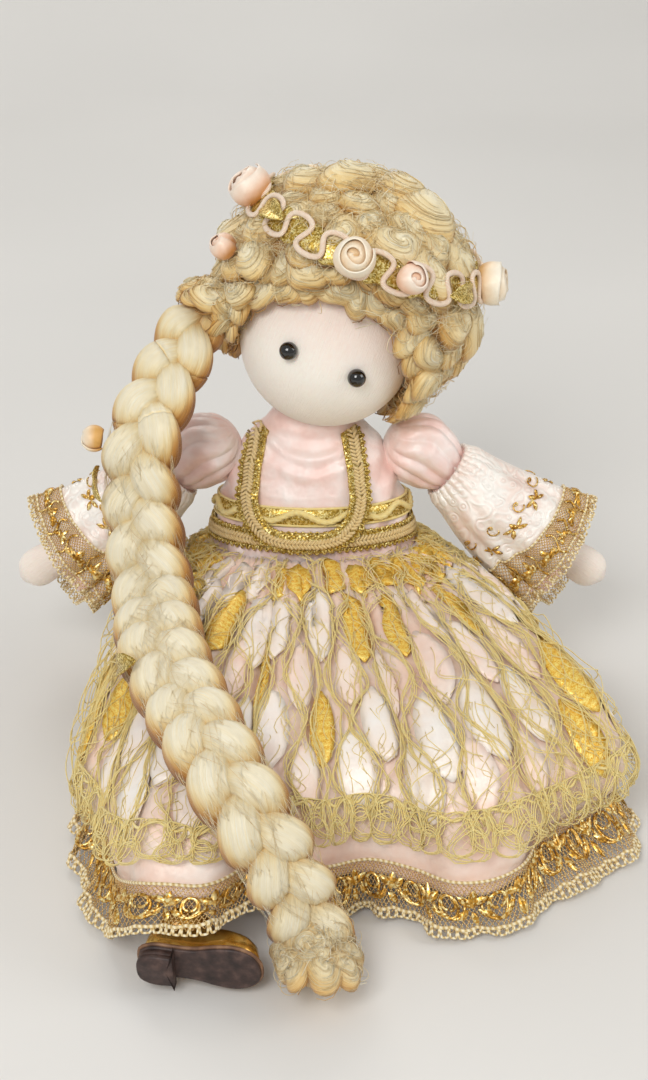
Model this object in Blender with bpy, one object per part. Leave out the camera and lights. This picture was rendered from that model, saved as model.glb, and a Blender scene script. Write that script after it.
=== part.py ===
# Seated rag doll in metres, +Z up. The doll faces -Y and its own left side is +X.
# The origin is the middle of the flat seat under the stuffed body.

import math

import bmesh
import bpy
import numpy as np

# Fits between pieces
TOUCH_GAP = 0.0003
LAYER_GAP = 0.0005
SWING_GAP = 0.0006

# Stuffed body, leaning back from the seat
TORSO_HEIGHT = 0.098
TORSO_HALF_WIDTH = 0.0350
TORSO_FRONT_DEPTH = 0.0205
TORSO_BACK_DEPTH = 0.0220
TORSO_LEAN = math.radians(12.0)
HIP_RECESS_SHARE = 0.25
BODY_COLUMNS = 30
NECK_RADIUS = 0.0085
NECK_LENGTH = 0.0050

# Head, tilted to the doll's left and turned a little to its right
HEAD_RADIUS = 0.0290
SKULL_HEIGHT = 0.0400
HEAD_RISE = 0.0230
HEAD_SHIFT_X = 0.0083
HEAD_SHIFT_Y = -0.0008
NECK_SHIFT_X = -0.0030
NECK_SEAM_DROP = 0.0225
HEAD_ROLL = math.radians(21.0)
HEAD_LEAN = math.radians(8.0)
HEAD_YAW = math.radians(-6.0)
EYE_RADIUS = 0.0030
EYE_STAND = 0.0009
EYE_HALF_ANGLE = math.radians(22.4)
EYE_LATITUDE = math.radians(-1.0)

# Wig of curls, a cap over the head with a fringe
WIG_RADIUS = 0.0415
WIG_RISE = 0.0175
CURL_HEIGHT = 0.0026
CURL_COUNT = 44
WIG_EDGE = 0.0070
WIG_LINING_GAP = 0.0009
RIM_FRONT = math.radians(36.0)
RIM_SIDE = math.radians(-16.0)
RIM_BACK = math.radians(-24.0)

# Circlet on the wig and its ribbon roses
CIRCLET_RISE = 0.0360
CIRCLET_WIDTH = 0.0080
CIRCLET_THICKNESS = 0.0014
CIRCLET_ZONE = 0.0085
ROSE_RIBBON = 0.0009
ROSE_SPACING = 0.0019
ROSE_HEIGHT = 0.0055
ROOT_ROSE_LONGITUDE = -66.0
ROOT_ROSE_LATITUDE = 24.0
LEAF_LENGTH = 0.0130
LEAF_WIDTH = 0.0062
LEAF_THICKNESS = 0.0008

# Arms and sleeves, one pair
SHOULDER_X = 0.0360
SHOULDER_DROP = 0.0120
SHOULDER_HEIGHT = TORSO_HEIGHT - SHOULDER_DROP
ARM_HEAD_RADIUS = 0.0092
ARM_LENGTH = 0.0820
ARM_REACH_X = 0.0580
ARM_REACH_Y = -0.0040
ARM_DROP = 0.0430
PUFF_RADIUS = 0.0120
CLOTH_THICKNESS = 0.0014
PUFF_CUFF_AT = 0.0165
PUFF_CUFF_RADIUS = 0.0096
BELL_START_AT = 0.0125
BELL_START_RADIUS = 0.0112
BELL_MOUTH_X = 0.0950
BELL_MOUTH_Y = 0.0150
BELL_MOUTH_Z = 0.0420
BELL_MOUTH_HEIGHT = 0.0245
BELL_MOUTH_DEPTH = 0.0190
BELL_WAVE = 0.0010
BELL_COLUMNS = 30
LACE_THICKNESS = 0.0008
SLEEVE_LACE_WIDTH = 0.0120
SLEEVE_LACE_OVERHANG = 0.0030

# Legs and shoes
HIP_X = 0.0170
HIP_Y = -0.0140
HIP_Z = 0.0112
THIGH_RADIUS = 0.0115
KNEE_RADIUS = 0.0095
ANKLE_RADIUS = 0.0070
FLOOR_FLAT = 0.0005
KNEE_PULL_SHARE = 0.86
LEG_LENGTH = 0.1230
THIGH_LENGTH = 0.0580
RIGHT_THIGH_ANGLE = math.radians(8.0)
RIGHT_SHIN_ANGLE = math.radians(9.0)
LEFT_THIGH_ANGLE = math.radians(66.0)
LEFT_SHIN_ANGLE = math.radians(-32.0)
ANKLE_LIFT = 0.0110
SHOE_LENGTH = 0.0330
SHOE_WIDTH = 0.0145
SHOE_HEIGHT = 0.0120
SHOE_COLLAR_RADIUS = 0.0080
SHOE_TURN = math.radians(7.0)
SOLE_THICKNESS = 0.0018
SOLE_MARGIN = 0.0008
HEEL_LENGTH = 0.0095
HEEL_HEIGHT = 0.0032

# Bodice and its trims
WAIST_HEIGHT_SHARE = 0.5408
WAIST_AT = WAIST_HEIGHT_SHARE * TORSO_HEIGHT
BODICE_TUCK = 0.0030
BODICE_NECK_DROP = 0.0018
BODICE_BOTTOM = WAIST_AT - BODICE_TUCK
BODICE_TOP = TORSO_HEIGHT - BODICE_NECK_DROP
TRIM_THICKNESS = 0.0010
TRIM_WIDTH = 0.0080
WAIST_TRIM_RISE = 0.0070
WAIST_TRIM_WIDTH = 0.0070
WAIST_TRIM_AT = WAIST_AT + WAIST_TRIM_RISE
WAVE_TRIM_WIDTH = 0.0054
WAVE_TRIM_GAP = 0.0018
WAVE_TRIM_AT = WAIST_TRIM_AT + (WAIST_TRIM_WIDTH + WAVE_TRIM_WIDTH) / 2 + WAVE_TRIM_GAP
U_TRIM_HALF_SPAN = 0.0170
U_TRIM_SHIFT_X = -0.0025
U_TRIM_CURVE = 0.0120
U_TRIM_TOP_SHARE = 0.898
U_TRIM_TOP = TORSO_HEIGHT * U_TRIM_TOP_SHARE
U_TRIM_BEND_SHARE = 0.75
U_TRIM_BEND = WAIST_TRIM_AT + (U_TRIM_TOP - WAIST_TRIM_AT) * U_TRIM_BEND_SHARE
U_TRIM_TOP_SPAN_SHARE = 0.84

# Skirt, overlay and flounce
WAIST_CLEARANCE = 0.0008
HEM_REACH = 0.1000
HEM_CENTRE_X = 0.0060
HEM_CENTRE_Y = -0.0420
SKIRT_FOLDS = 10
SKIRT_COLUMNS = 50
SKIRT_FOLD_DEPTH = 0.0015
LAP_SAG = 0.0060
LAP_SAG_X = 0.0080
LAP_SAG_HALF_WIDTH = 0.0160
OVERLAY_GAP = 0.0009
SHOE_LIFT = 0.0205
SHOE_LIFT_X = -0.0290
SHOE_LIFT_HALF_WIDTH = 0.0250

# Plait
PLAIT_HALF_WIDTH = 0.0140
PLAIT_HALF_DEPTH = 0.0088
PLAIT_PITCH = 0.0285
PLAIT_TOP_LENGTH = 0.0420
PLAIT_LOBE_SIDE_SHARE = 0.13
PLAIT_LOBE_DEPTH_SHARE = 0.06
TUFT_LENGTH = 0.0180
PLAIT_SIDES = 10
PLAIT_BUD_AT = 0.0495
PLAIT_LEAF_AT = 0.0570
PLAIT_LOWER_LEAF_AT = 0.1340

# Hem outline as shares of the hem reach, walked from the back round the doll's left side
HEM_SHARES = [
    (0.00, 0.86), (0.42, 0.76), (0.60, 0.46), (0.72, 0.14), (0.82, -0.08), (0.94, -0.34),
    (0.96, -0.52), (0.66, -0.76), (0.40, -0.86), (0.12, -0.74), (-0.14, -0.86), (-0.40, -1.08),
    (-0.70, -0.84), (-0.80, -0.38), (-0.74, 0.00), (-0.66, 0.46), (-0.44, 0.76),
]

# Skirt section as shares of the run from waist to hem and of the waist height
SKIRT_SECTION_SHARES = [
    (0.00, 1.00), (0.16, 1.01), (0.36, 0.96), (0.56, 0.87), (0.74, 0.73), (0.86, 0.54),
    (0.905, 0.36), (0.94, 0.18), (1.00, 0.00),
]

# Rows of the skirt as shares of its section, and the rows where each layer starts and ends
SKIRT_ROW_SHARES = [0.0, 0.05, 0.12, 0.22, 0.34, 0.46, 0.57, 0.66, 0.672, 0.73, 0.80, 0.86, 0.92, 0.96, 1.0]
SATIN_ROWS = (0, 12)
OVERLAY_ROWS = (1, 8)
EDGING_ROWS = (8, 10)
FLOUNCE_ROWS = (10, 15)

# Body outline as shares of the torso's height, half width, front and back depth
TORSO_SHARES = [
    (0.00, 0.78, 0.10, 0.66), (0.04, 0.92, 0.16, 0.84), (0.14, 0.99, 0.22, 0.94),
    (0.235, 1.00, 0.28, 0.97), (0.30, 1.00, 0.80, 0.99), (0.41, 0.99, 1.00, 1.00),
    (0.57, 0.94, 1.00, 0.93), (0.69, 0.88, 0.98, 0.88), (0.79, 0.80, 0.90, 0.80),
    (0.88, 0.70, 0.78, 0.70), (0.95, 0.50, 0.60, 0.58), (1.00, 0.27, 0.46, 0.43),
]

# Arm outline as shares of its length and of its head radius
ARM_SHARES = [
    (-0.105, 0.30), (-0.07, 0.74), (0.00, 1.00), (0.10, 0.88), (0.25, 0.78), (0.42, 0.72),
    (0.60, 0.66), (0.74, 0.57), (0.82, 0.66), (0.90, 0.77), (0.96, 0.62), (1.00, 0.24),
]

# Sole outline as shares of the shoe's length and half width, from heel to toe
SOLE_SHARES = [
    (0.00, 0.30), (0.04, 0.58), (0.14, 0.74), (0.30, 0.72), (0.46, 0.74), (0.62, 0.92),
    (0.78, 1.00), (0.90, 0.84), (0.97, 0.54), (1.00, 0.24),
]

# Shoe upper as shares of its height, of the sole's length and width, and of the toe's set-back
UPPER_SHARES = [
    (0.00, 0.97, 0.96), (0.16, 1.00, 1.04), (0.42, 0.96, 1.00), (0.64, 0.84, 0.90),
]

# Colours
KNIT = (0.93, 0.86, 0.78)
CURL = (0.86, 0.72, 0.40)
SATIN = (0.91, 0.72, 0.70)
PEARL = (0.90, 0.80, 0.74)
LACE = (0.90, 0.78, 0.40)
GILT = (0.74, 0.58, 0.26)
BRONZE_LACE = (0.62, 0.44, 0.20)
CREAM = (0.92, 0.83, 0.66)
ROSE = (0.90, 0.66, 0.55)
OLIVE = (0.60, 0.52, 0.22)
BEAD = (0.01, 0.01, 0.01)
GOLD_VINYL = (0.75, 0.50, 0.17)
SOLE_BROWN = (0.10, 0.07, 0.06)


def clear_scene():
    """Remove what the opened scene holds."""
    for item in list(bpy.data.objects):
        bpy.data.objects.remove(item, do_unlink=True)


def material(name, colour, roughness, metallic=0.0):
    """A Principled material of one colour."""
    finish = bpy.data.materials.new(name)
    finish.use_nodes = True
    shader = finish.node_tree.nodes["Principled BSDF"]
    shader.inputs["Base Color"].default_value = (*colour, 1.0)
    shader.inputs["Roughness"].default_value = roughness
    shader.inputs["Metallic"].default_value = metallic
    return finish


def add_mesh(name, verts, faces, finish, smooth=True):
    """Put points and faces into one named object with outward normals."""
    mesh = bpy.data.meshes.new(name)
    mesh.from_pydata([tuple(map(float, v)) for v in verts], [], faces)
    shape = bmesh.new()
    shape.from_mesh(mesh)
    bmesh.ops.recalc_face_normals(shape, faces=shape.faces)
    if shape.calc_volume(signed=True) < 0:
        bmesh.ops.reverse_faces(shape, faces=shape.faces)
    shape.to_mesh(mesh)
    shape.free()
    if smooth:
        mesh.shade_smooth()
    mesh.materials.append(finish)
    body = bpy.data.objects.new(name, mesh)
    bpy.context.scene.collection.objects.link(body)
    return body


def skin(name, rings, finish, wrap=False, smooth=True):
    """Join rings of points into one closed body.

    rings is an array of rings by points by xyz. With wrap the last ring joins the first one,
    otherwise each end ring is closed by a fan round its middle.
    """
    count, around = rings.shape[:2]
    verts = list(rings.reshape(-1, 3))
    faces = []
    for i in range(count if wrap else count - 1):
        j = (i + 1) % count
        for k in range(around):
            m = (k + 1) % around
            faces.append((i * around + k, i * around + m, j * around + m, j * around + k))
    if not wrap:
        for i in (0, count - 1):
            hub = len(verts)
            verts.append(rings[i].mean(axis=0))
            for k in range(around):
                faces.append((i * around + (k + 1) % around, i * around + k, hub))
    return add_mesh(name, verts, faces, finish, smooth)


def surface_normals(grid):
    """Unit normals of a grid that closes round its second direction."""
    along = np.gradient(grid, axis=0)
    around = np.roll(grid, -1, axis=1) - np.roll(grid, 1, axis=1)
    normal = np.cross(around, along)
    normal /= np.maximum(np.linalg.norm(normal, axis=2, keepdims=True), 1e-12)
    outward = grid - grid.mean(axis=(0, 1))
    if (normal * outward).sum() < 0:
        normal = -normal
    return normal


def shell(name, grid, inside, outside, finish):
    """A cloth layer: the surface moved out by inside and by outside, joined at both edges."""
    normal = surface_normals(grid)
    outer = grid + normal * outside
    inner = grid + normal * inside
    return skin(name, np.concatenate([outer, inner[::-1]]), finish, wrap=True)


def smooth_curve(points, count, closed=False):
    """Points at even steps of length along a Catmull-Rom curve through the given points."""
    points = np.array(points, float)
    if closed:
        padded = np.concatenate([points[-1:], points, points[:2]])
    else:
        padded = np.concatenate([2 * points[:1] - points[1:2], points, 2 * points[-1:] - points[-2:-1]])
    t = np.linspace(0, 1, 16, endpoint=False)[:, None]
    runs = []
    for a, b, c, d in zip(padded[:-3], padded[1:-2], padded[2:-1], padded[3:]):
        runs.append(0.5 * (2 * b + (c - a) * t + (2 * a - 5 * b + 4 * c - d) * t ** 2
                           + (3 * b - a - 3 * c + d) * t ** 3))
    fine = np.concatenate(runs + [points[:1] if closed else points[-1:]])
    length = np.concatenate([[0], np.cumsum(np.linalg.norm(np.diff(fine, axis=0), axis=1))])
    at = np.linspace(0, length[-1], count, endpoint=not closed)
    return np.stack([np.interp(at, length, fine[:, i]) for i in range(fine.shape[1])], axis=1)


def path_frames(path, reference):
    """Side and face direction at each point of a path."""
    tangent = unit_rows(np.gradient(path, axis=0))
    side = unit_rows(np.cross(tangent, reference))
    return side, np.cross(side, tangent)


def unit(vector):
    """The vector at length one."""
    vector = np.array(vector, float)
    return vector / np.linalg.norm(vector)


def unit_rows(vectors):
    """Each row of vectors at length one."""
    return vectors / np.linalg.norm(vectors, axis=-1, keepdims=True)


def turned(angle, axis):
    """Rotation matrix by the right-hand rule about a main axis."""
    c, s = math.cos(angle), math.sin(angle)
    if axis == "X":
        return np.array([[1, 0, 0], [0, c, -s], [0, s, c]])
    if axis == "Y":
        return np.array([[c, 0, s], [0, 1, 0], [-s, 0, c]])
    return np.array([[c, -s, 0], [s, c, 0], [0, 0, 1]])


def ramp(value, low, high):
    """Smooth step from 0 at low to 1 at high."""
    x = np.clip((value - low) / (high - low), 0, 1)
    return x * x * (3 - 2 * x)


def place_origin(body, point):
    """Move an object's origin to a point and leave its surface where it is."""
    shift = np.array(point, float)
    for vertex in body.data.vertices:
        vertex.co = tuple(np.array(vertex.co) - shift)
    body.location = tuple(float(v) for v in shift)


def cut(body, tool):
    """Subtract a hidden tool from a body."""
    tool.hide_render = True
    tool.display_type = "WIRE"
    step = body.modifiers.new("cut_" + tool.name, "BOOLEAN")
    step.operation = "DIFFERENCE"
    step.solver = "EXACT"
    step.object = tool


def ball(name, centre, radius, finish, segments=20, rings=12):
    """A sphere object."""
    shape = bmesh.new()
    bmesh.ops.create_uvsphere(shape, u_segments=segments, v_segments=rings, radius=radius)
    mesh = bpy.data.meshes.new(name)
    shape.to_mesh(mesh)
    shape.free()
    mesh.shade_smooth()
    mesh.materials.append(finish)
    body = bpy.data.objects.new(name, mesh)
    body.location = tuple(float(v) for v in centre)
    bpy.context.scene.collection.objects.link(body)
    return body


# Places that several pieces share

def spine(height):
    """The body's middle line at a height above the seat."""
    return np.array([0.0, math.tan(TORSO_LEAN) * height, height])


NECK_PIVOT = spine(TORSO_HEIGHT) + np.array([NECK_SHIFT_X, 0.0, NECK_LENGTH])
HEAD_CENTRE = NECK_PIVOT + np.array([HEAD_SHIFT_X, HEAD_SHIFT_Y, HEAD_RISE])
HEAD_TURN = turned(HEAD_YAW, "Z") @ turned(HEAD_ROLL, "Y") @ turned(-HEAD_LEAN, "X")
SHOULDER_Y = spine(SHOULDER_HEIGHT)[1]


def on_head(local):
    """World place of points given in the head's own frame, x left, y back, z up."""
    return HEAD_CENTRE + np.asarray(local) @ HEAD_TURN.T


def direction(longitude, latitude):
    """Unit vector in the head's frame; longitude 0 looks out of the face."""
    return np.stack([np.sin(longitude) * np.cos(latitude), -np.cos(longitude) * np.cos(latitude),
                     np.sin(latitude) + 0 * longitude], axis=-1)


def head_radius(way):
    """Distance from the head's centre to its skin: a ball below, a taller skull above."""
    up = way[..., 2]
    tall = 1 / np.sqrt((1 - up ** 2) / HEAD_RADIUS ** 2 + up ** 2 / SKULL_HEIGHT ** 2)
    return np.where(up > 0, tall, HEAD_RADIUS)


def torso_points(share, angle):
    """Places on the stuffed body at shares of its height and angles round it."""
    share = np.asarray(share, float) + 0 * angle
    table = np.array(TORSO_SHARES)
    width, front, back = [np.interp(share, table[:, 0], table[:, i]) for i in (1, 2, 3)]
    centre_y = math.tan(TORSO_LEAN) * share * TORSO_HEIGHT
    at_hip = np.sqrt(1 - np.clip(HIP_X / (width * TORSO_HALF_WIDTH), 0, 0.6) ** 2)
    hip_front = (centre_y - (HIP_Y + THIGH_RADIUS + SWING_GAP / 2)) / at_hip
    front = np.where(share < HIP_RECESS_SHARE, hip_front, front * TORSO_FRONT_DEPTH)
    depth = np.where(np.sin(angle) < 0, front, back * TORSO_BACK_DEPTH)
    return np.stack([width * TORSO_HALF_WIDTH * np.cos(angle), centre_y + depth * np.sin(angle),
                     share * TORSO_HEIGHT], axis=-1)


def torso_grid(shares, around):
    """Level cross-sections of the body, one for each share of its height."""
    angle = np.linspace(0, 2 * math.pi, around, endpoint=False)
    return torso_points(np.array(shares)[:, None], angle[None, :])


def belt_grid(heights, around):
    """Rings round the body square to the leaning spine, one for each height along it."""
    angle = np.linspace(0, 2 * math.pi, around, endpoint=False)[None, :]
    level = np.array(heights)[:, None] / TORSO_HEIGHT + 0 * angle
    share = level
    for _ in range(3):
        off_spine = torso_points(share, angle)[..., 1] - math.tan(TORSO_LEAN) * level * TORSO_HEIGHT
        share = level - math.tan(TORSO_LEAN) * off_spine / TORSO_HEIGHT
    return torso_points(share, angle)


# Stuffed body

def make_torso(finish, sockets):
    """Seat, belly and chest in one swelling body, dished where the shoulders sit."""
    shares = [row[0] for row in TORSO_SHARES]
    torso = skin("torso", torso_grid(shares, BODY_COLUMNS), finish)
    for socket in sockets:
        cut(torso, socket)
    return torso


def make_neck(finish):
    """Short stuffed neck with a domed top that the head rocks on."""
    around = np.linspace(0, 2 * math.pi, 20, endpoint=False)
    rings = []
    foot = spine(TORSO_HEIGHT) + np.array([NECK_SHIFT_X, 0.0, TOUCH_GAP])
    steps = [(foot, NECK_RADIUS), (NECK_PIVOT, NECK_RADIUS)]
    for lift in np.radians([25, 48, 68]):
        rise = np.array([0, 0, NECK_RADIUS * math.sin(lift)])
        steps.append((NECK_PIVOT + rise, NECK_RADIUS * math.cos(lift)))
    for centre, radius in steps:
        ring = np.stack([radius * np.cos(around), radius * np.sin(around), 0 * around], axis=1)
        rings.append(centre + ring)
    neck = skin("neck", np.array(rings), finish)
    place_origin(neck, NECK_PIVOT)
    return neck


def make_head(finish):
    """Knitted head, flat where the neck is sewn in, with a socket for the neck's dome."""
    latitude = np.radians(np.linspace(-84, 86, 15))
    longitude = np.linspace(0, 2 * math.pi, 28, endpoint=False)
    lat, lon = np.meshgrid(latitude, longitude, indexing="ij")
    way = direction(lon, lat)
    head = skin("head", on_head(way * head_radius(way)[..., None]), finish)
    place_origin(head, NECK_PIVOT)
    socket = ball("neck_socket", NECK_PIVOT, NECK_RADIUS + SWING_GAP, finish)
    cut(head, socket)
    axis = unit(NECK_PIVOT - HEAD_CENTRE)
    side = unit(np.cross(axis, [0, 1, 0]))
    across = np.cross(axis, side)
    plane = HEAD_CENTRE + axis * NECK_SEAM_DROP
    corners = []
    for depth in (0, HEAD_RADIUS):
        corners.append([plane + axis * depth + HEAD_RADIUS * (side * i + across * j)
                        for i, j in ((1, 1), (-1, 1), (-1, -1), (1, -1))])
    seam = skin("neck_seam_cut", np.array(corners), finish, smooth=False)
    cut(head, seam)
    return head


def make_eye(name, sign, finish):
    """Round bead eye standing on the knit, cut off flat at the back."""
    way = direction(np.array(sign * EYE_HALF_ANGLE), np.array(EYE_LATITUDE))
    base = on_head(way * (HEAD_RADIUS + TOUCH_GAP))
    axis = HEAD_TURN @ way
    side = unit(np.cross(axis, [0, 0, 1]))
    up = np.cross(side, axis)
    around = np.linspace(0, 2 * math.pi, 16, endpoint=False)
    rings = []
    for polar in np.radians([112, 90, 68, 46, 24]):
        height = EYE_STAND + EYE_RADIUS * (math.cos(polar) - math.cos(math.radians(112)))
        radius = EYE_RADIUS * math.sin(polar)
        rings.append(base + axis * (height - EYE_STAND + TOUCH_GAP)
                     + radius * (np.outer(np.cos(around), side) + np.outer(np.sin(around), up)))
    eye = skin(name, np.array(rings), finish)
    place_origin(eye, NECK_PIVOT)
    return eye


# Wig, circlet and roses

def rim_latitude(longitude):
    """Latitude of the wig's edge: high over the brow, low at the ears and nape."""
    turn = np.abs((longitude + math.pi) % (2 * math.pi) - math.pi)
    front = ramp(turn, math.radians(38), math.radians(86))
    back = ramp(turn, math.radians(86), math.radians(150))
    return RIM_FRONT + (RIM_SIDE - RIM_FRONT) * front + (RIM_BACK - RIM_SIDE) * back


def curl_bumps(way, height):
    """Rounded bumps at even places over the wig, flat under the circlet and at the plait's root."""
    index = np.arange(CURL_COUNT) + 0.5
    lift = 1 - 2 * index / CURL_COUNT
    turn = index * math.pi * (3 - math.sqrt(5))
    level = np.sqrt(1 - lift ** 2)
    spots = np.stack([np.cos(turn) * level, np.sin(turn) * level, lift], axis=1)
    angle = np.arccos(np.clip(way @ spots.T, -1, 1)).min(axis=-1)
    bump = np.cos(np.clip(angle / math.radians(17), 0, 1) * math.pi / 2)
    band = ramp(np.abs(height - CIRCLET_RISE), CIRCLET_ZONE, 2 * CIRCLET_ZONE)
    root = 1 - ramp(way @ direction(np.array(math.radians(-92)), np.array(math.radians(8))), 0.86, 0.94)
    return CURL_HEIGHT * bump * band * root


def wig_radius(way):
    """Distance from the head's centre to the outside of the curls."""
    up = way[..., 2]
    round_cap = WIG_RISE * up + np.sqrt(WIG_RADIUS ** 2 - WIG_RISE ** 2 * (1 - up ** 2))
    round_cap = np.maximum(round_cap, head_radius(way) + WIG_EDGE)
    return round_cap + curl_bumps(way, round_cap * up)


def make_wig(finish):
    """Cap of curls: an outer lumpy skin and an inner one that fits the head."""
    longitude = np.linspace(0, 2 * math.pi, 32, endpoint=False)
    outer, inner = [], []
    rim = rim_latitude(longitude)
    for share in np.linspace(0.03, 1.0, 12):
        lat = math.pi / 2 + (rim - math.pi / 2) * share
        way = direction(longitude, lat)
        tuck = ramp(share, 0.9, 1.06) * 0.35
        reach = wig_radius(way)
        inside = head_radius(way) + WIG_LINING_GAP
        outer.append(on_head(way * (reach + (inside - reach) * tuck)[:, None]))
    for share in np.linspace(0.03, 0.985, 8):
        lat = math.pi / 2 + (rim - math.pi / 2) * share
        way = direction(longitude, lat)
        inner.append(on_head(way * (head_radius(way) + WIG_LINING_GAP)[:, None]))
    wig = skin("wig", np.array(outer + inner[::-1]), finish)
    place_origin(wig, NECK_PIVOT)
    return wig


def circlet_point(longitude, out=0.0, lift=0.0):
    """A place on the wig at the circlet's level, in the head's frame, with its outward normal."""
    height = CIRCLET_RISE + lift - WIG_RISE
    radius = np.sqrt(WIG_RADIUS ** 2 - height ** 2)
    outward = np.stack([np.sin(longitude) * radius, -np.cos(longitude) * radius,
                        height + 0 * longitude], axis=-1)
    outward /= WIG_RADIUS
    return outward * (WIG_RADIUS + out) + np.array([0, 0, WIG_RISE]), outward


def make_circlet(finish):
    """Gimp band round the wig."""
    longitude = np.linspace(0, 2 * math.pi, 38, endpoint=False)
    rings = []
    near = LAYER_GAP + TOUCH_GAP
    for out, lift in ((near, -CIRCLET_WIDTH / 2), (near + CIRCLET_THICKNESS, -CIRCLET_WIDTH / 2),
                      (near + CIRCLET_THICKNESS, 0), (near + CIRCLET_THICKNESS, CIRCLET_WIDTH / 2),
                      (near, CIRCLET_WIDTH / 2), (near, 0)):
        rings.append(on_head(circlet_point(longitude, out, lift)[0]))
    band = skin("circlet_band", np.array(rings), finish, wrap=True)
    place_origin(band, NECK_PIVOT)
    return band


def make_rose(name, base, axis, turns, finish, origin=None):
    """Ribbon rose: a ribbon on edge wound outwards from the heart, its turns apart, higher inside."""
    axis = unit(axis)
    side = unit(np.cross(axis, [0.3, 0.2, 1.0]))
    across = np.cross(axis, side)
    steps = int(turns * 10) + 1
    angle = np.linspace(0, turns * 2 * math.pi, steps)
    radius = ROSE_SPACING * (0.45 + angle / (2 * math.pi))
    radial = np.cos(angle)[:, None] * side + np.sin(angle)[:, None] * across
    centre = np.array(base) + radial * radius[:, None]
    top = ROSE_HEIGHT * (1.0 - 0.30 * angle / angle[-1])
    rings = []
    half = ROSE_RIBBON / 2
    for i in range(steps):
        low = centre[i]
        high = centre[i] + axis * top[i] + radial[i] * ROSE_RIBBON / 2
        rings.append([low - radial[i] * half, low + radial[i] * half, high + radial[i] * half,
                      high - radial[i] * half])
    rose = skin(name, np.array(rings), finish)
    place_origin(rose, base if origin is None else origin)
    return rose


def make_leaf(name, base, along, up, finish, origin=None):
    """Ribbon leaf, pointed at both ends and folded along its middle."""
    along = unit(along)
    side = unit(np.cross(along, up))
    lift = np.cross(side, along)
    rings = []
    for share, width in ((0.0, 0.16), (0.15, 0.6), (0.4, 1.0), (0.65, 0.86), (0.88, 0.42), (1.0, 0.10)):
        centre = np.array(base) + along * LEAF_LENGTH * share
        half = LEAF_WIDTH * width / 2
        fold = lift * half * 0.35
        thick = lift * LEAF_THICKNESS
        rings.append([centre, centre + side * half + fold, centre + side * half + fold + thick,
                      centre + thick, centre - side * half + fold + thick, centre - side * half + fold])
    leaf = skin(name, np.array(rings), finish)
    place_origin(leaf, base if origin is None else origin)
    return leaf


def make_circlet_roses(finishes):
    """Roses, a bud and leaves along the circlet."""
    gap = LAYER_GAP + 2 * TOUCH_GAP + CIRCLET_THICKNESS + TOUCH_GAP
    table = [("rose_right_temple", -80, 2.6, "peach"), ("rose_brow", -6, 2.3, "cream"),
             ("rose_bud_brow", 20, 1.3, "peach"), ("rose_left_temple", 84, 3.2, "peach"),
             ("rose_back_left", 146, 2.3, "peach"), ("rose_back_right", -146, 2.3, "cream")]
    for name, degrees, turns, colour in table:
        spot, outward = circlet_point(np.array(math.radians(degrees)), gap)
        make_rose(name, on_head(spot), HEAD_TURN @ outward, turns, finishes[colour], NECK_PIVOT)
    spot = direction(np.array(math.radians(ROOT_ROSE_LONGITUDE)), np.array(math.radians(ROOT_ROSE_LATITUDE)))
    base = on_head(spot * (wig_radius(spot) + 3 * TOUCH_GAP))
    make_rose("rose_plait_root", base, HEAD_TURN @ spot, 1.6, finishes["peach"], NECK_PIVOT)
    for name, degrees, sense in (("leaf_right_temple", -62, 1), ("leaf_left_temple", 62, -1)):
        spot, outward = circlet_point(np.array(math.radians(degrees)), gap)
        along = HEAD_TURN @ np.array([math.cos(math.radians(degrees)), math.sin(math.radians(degrees)), 0.1])
        make_leaf(name, on_head(spot), along * sense, HEAD_TURN @ outward, finishes["olive"], NECK_PIVOT)


# Arms and sleeves

def arm_frame(sign):
    """Shoulder, direction down the arm, and the two directions across it."""
    shoulder = np.array([sign * SHOULDER_X, SHOULDER_Y, SHOULDER_HEIGHT])
    along = unit([sign * ARM_REACH_X, ARM_REACH_Y, -ARM_DROP])
    up = unit(np.cross(along, [0, sign, 0]))
    front = np.cross(up, along) * sign
    return shoulder, along, up, front


def make_arm(side, sign, finish):
    """Stuffed arm that tapers to the wrist and swells into a mitten hand."""
    shoulder, along, up, front = arm_frame(sign)
    around = np.linspace(0, 2 * math.pi, 18, endpoint=False)
    rings = []
    for share, width in ARM_SHARES:
        radius = ARM_HEAD_RADIUS * width
        flat = 1.0 - 0.25 * float(ramp(share, 0.74, 0.86))
        rings.append(shoulder + along * share * ARM_LENGTH
                     + radius * (np.outer(np.cos(around), up) + flat * np.outer(np.sin(around), front)))
    arm = skin("arm_" + side, np.array(rings), finish)
    place_origin(arm, shoulder)
    return arm


def make_puff(side, sign, finish):
    """Satin sleeve head: a gathered ball over the shoulder that ends in a narrow cuff."""
    shoulder, along, up, front = arm_frame(sign)
    around = np.linspace(0, 2 * math.pi, 20, endpoint=False)
    outer, inner = [], []
    inside = PUFF_RADIUS - CLOTH_THICKNESS
    for polar in np.radians([172, 150, 125, 100, 80, 62]):
        gather = 1 - 0.03 * (0.5 + 0.5 * np.cos(5 * around)) * math.sin(polar)
        for rings, radius, wave in ((outer, PUFF_RADIUS, gather), (inner, inside, 1.0)):
            reach = radius * math.sin(polar) * wave * np.ones_like(around)
            rings.append(shoulder + along * radius * math.cos(polar)
                         + reach[:, None] * (np.outer(np.cos(around), up) + np.outer(np.sin(around), front)))
    cuff = []
    for radius in (PUFF_CUFF_RADIUS, PUFF_CUFF_RADIUS - CLOTH_THICKNESS):
        cuff.append(shoulder + along * PUFF_CUFF_AT
                    + radius * (np.outer(np.cos(around), up) + np.outer(np.sin(around), front)))
    puff = skin("puff_sleeve_" + side, np.array(outer + cuff + inner[::-1]), finish)
    place_origin(puff, shoulder)
    return puff


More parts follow.
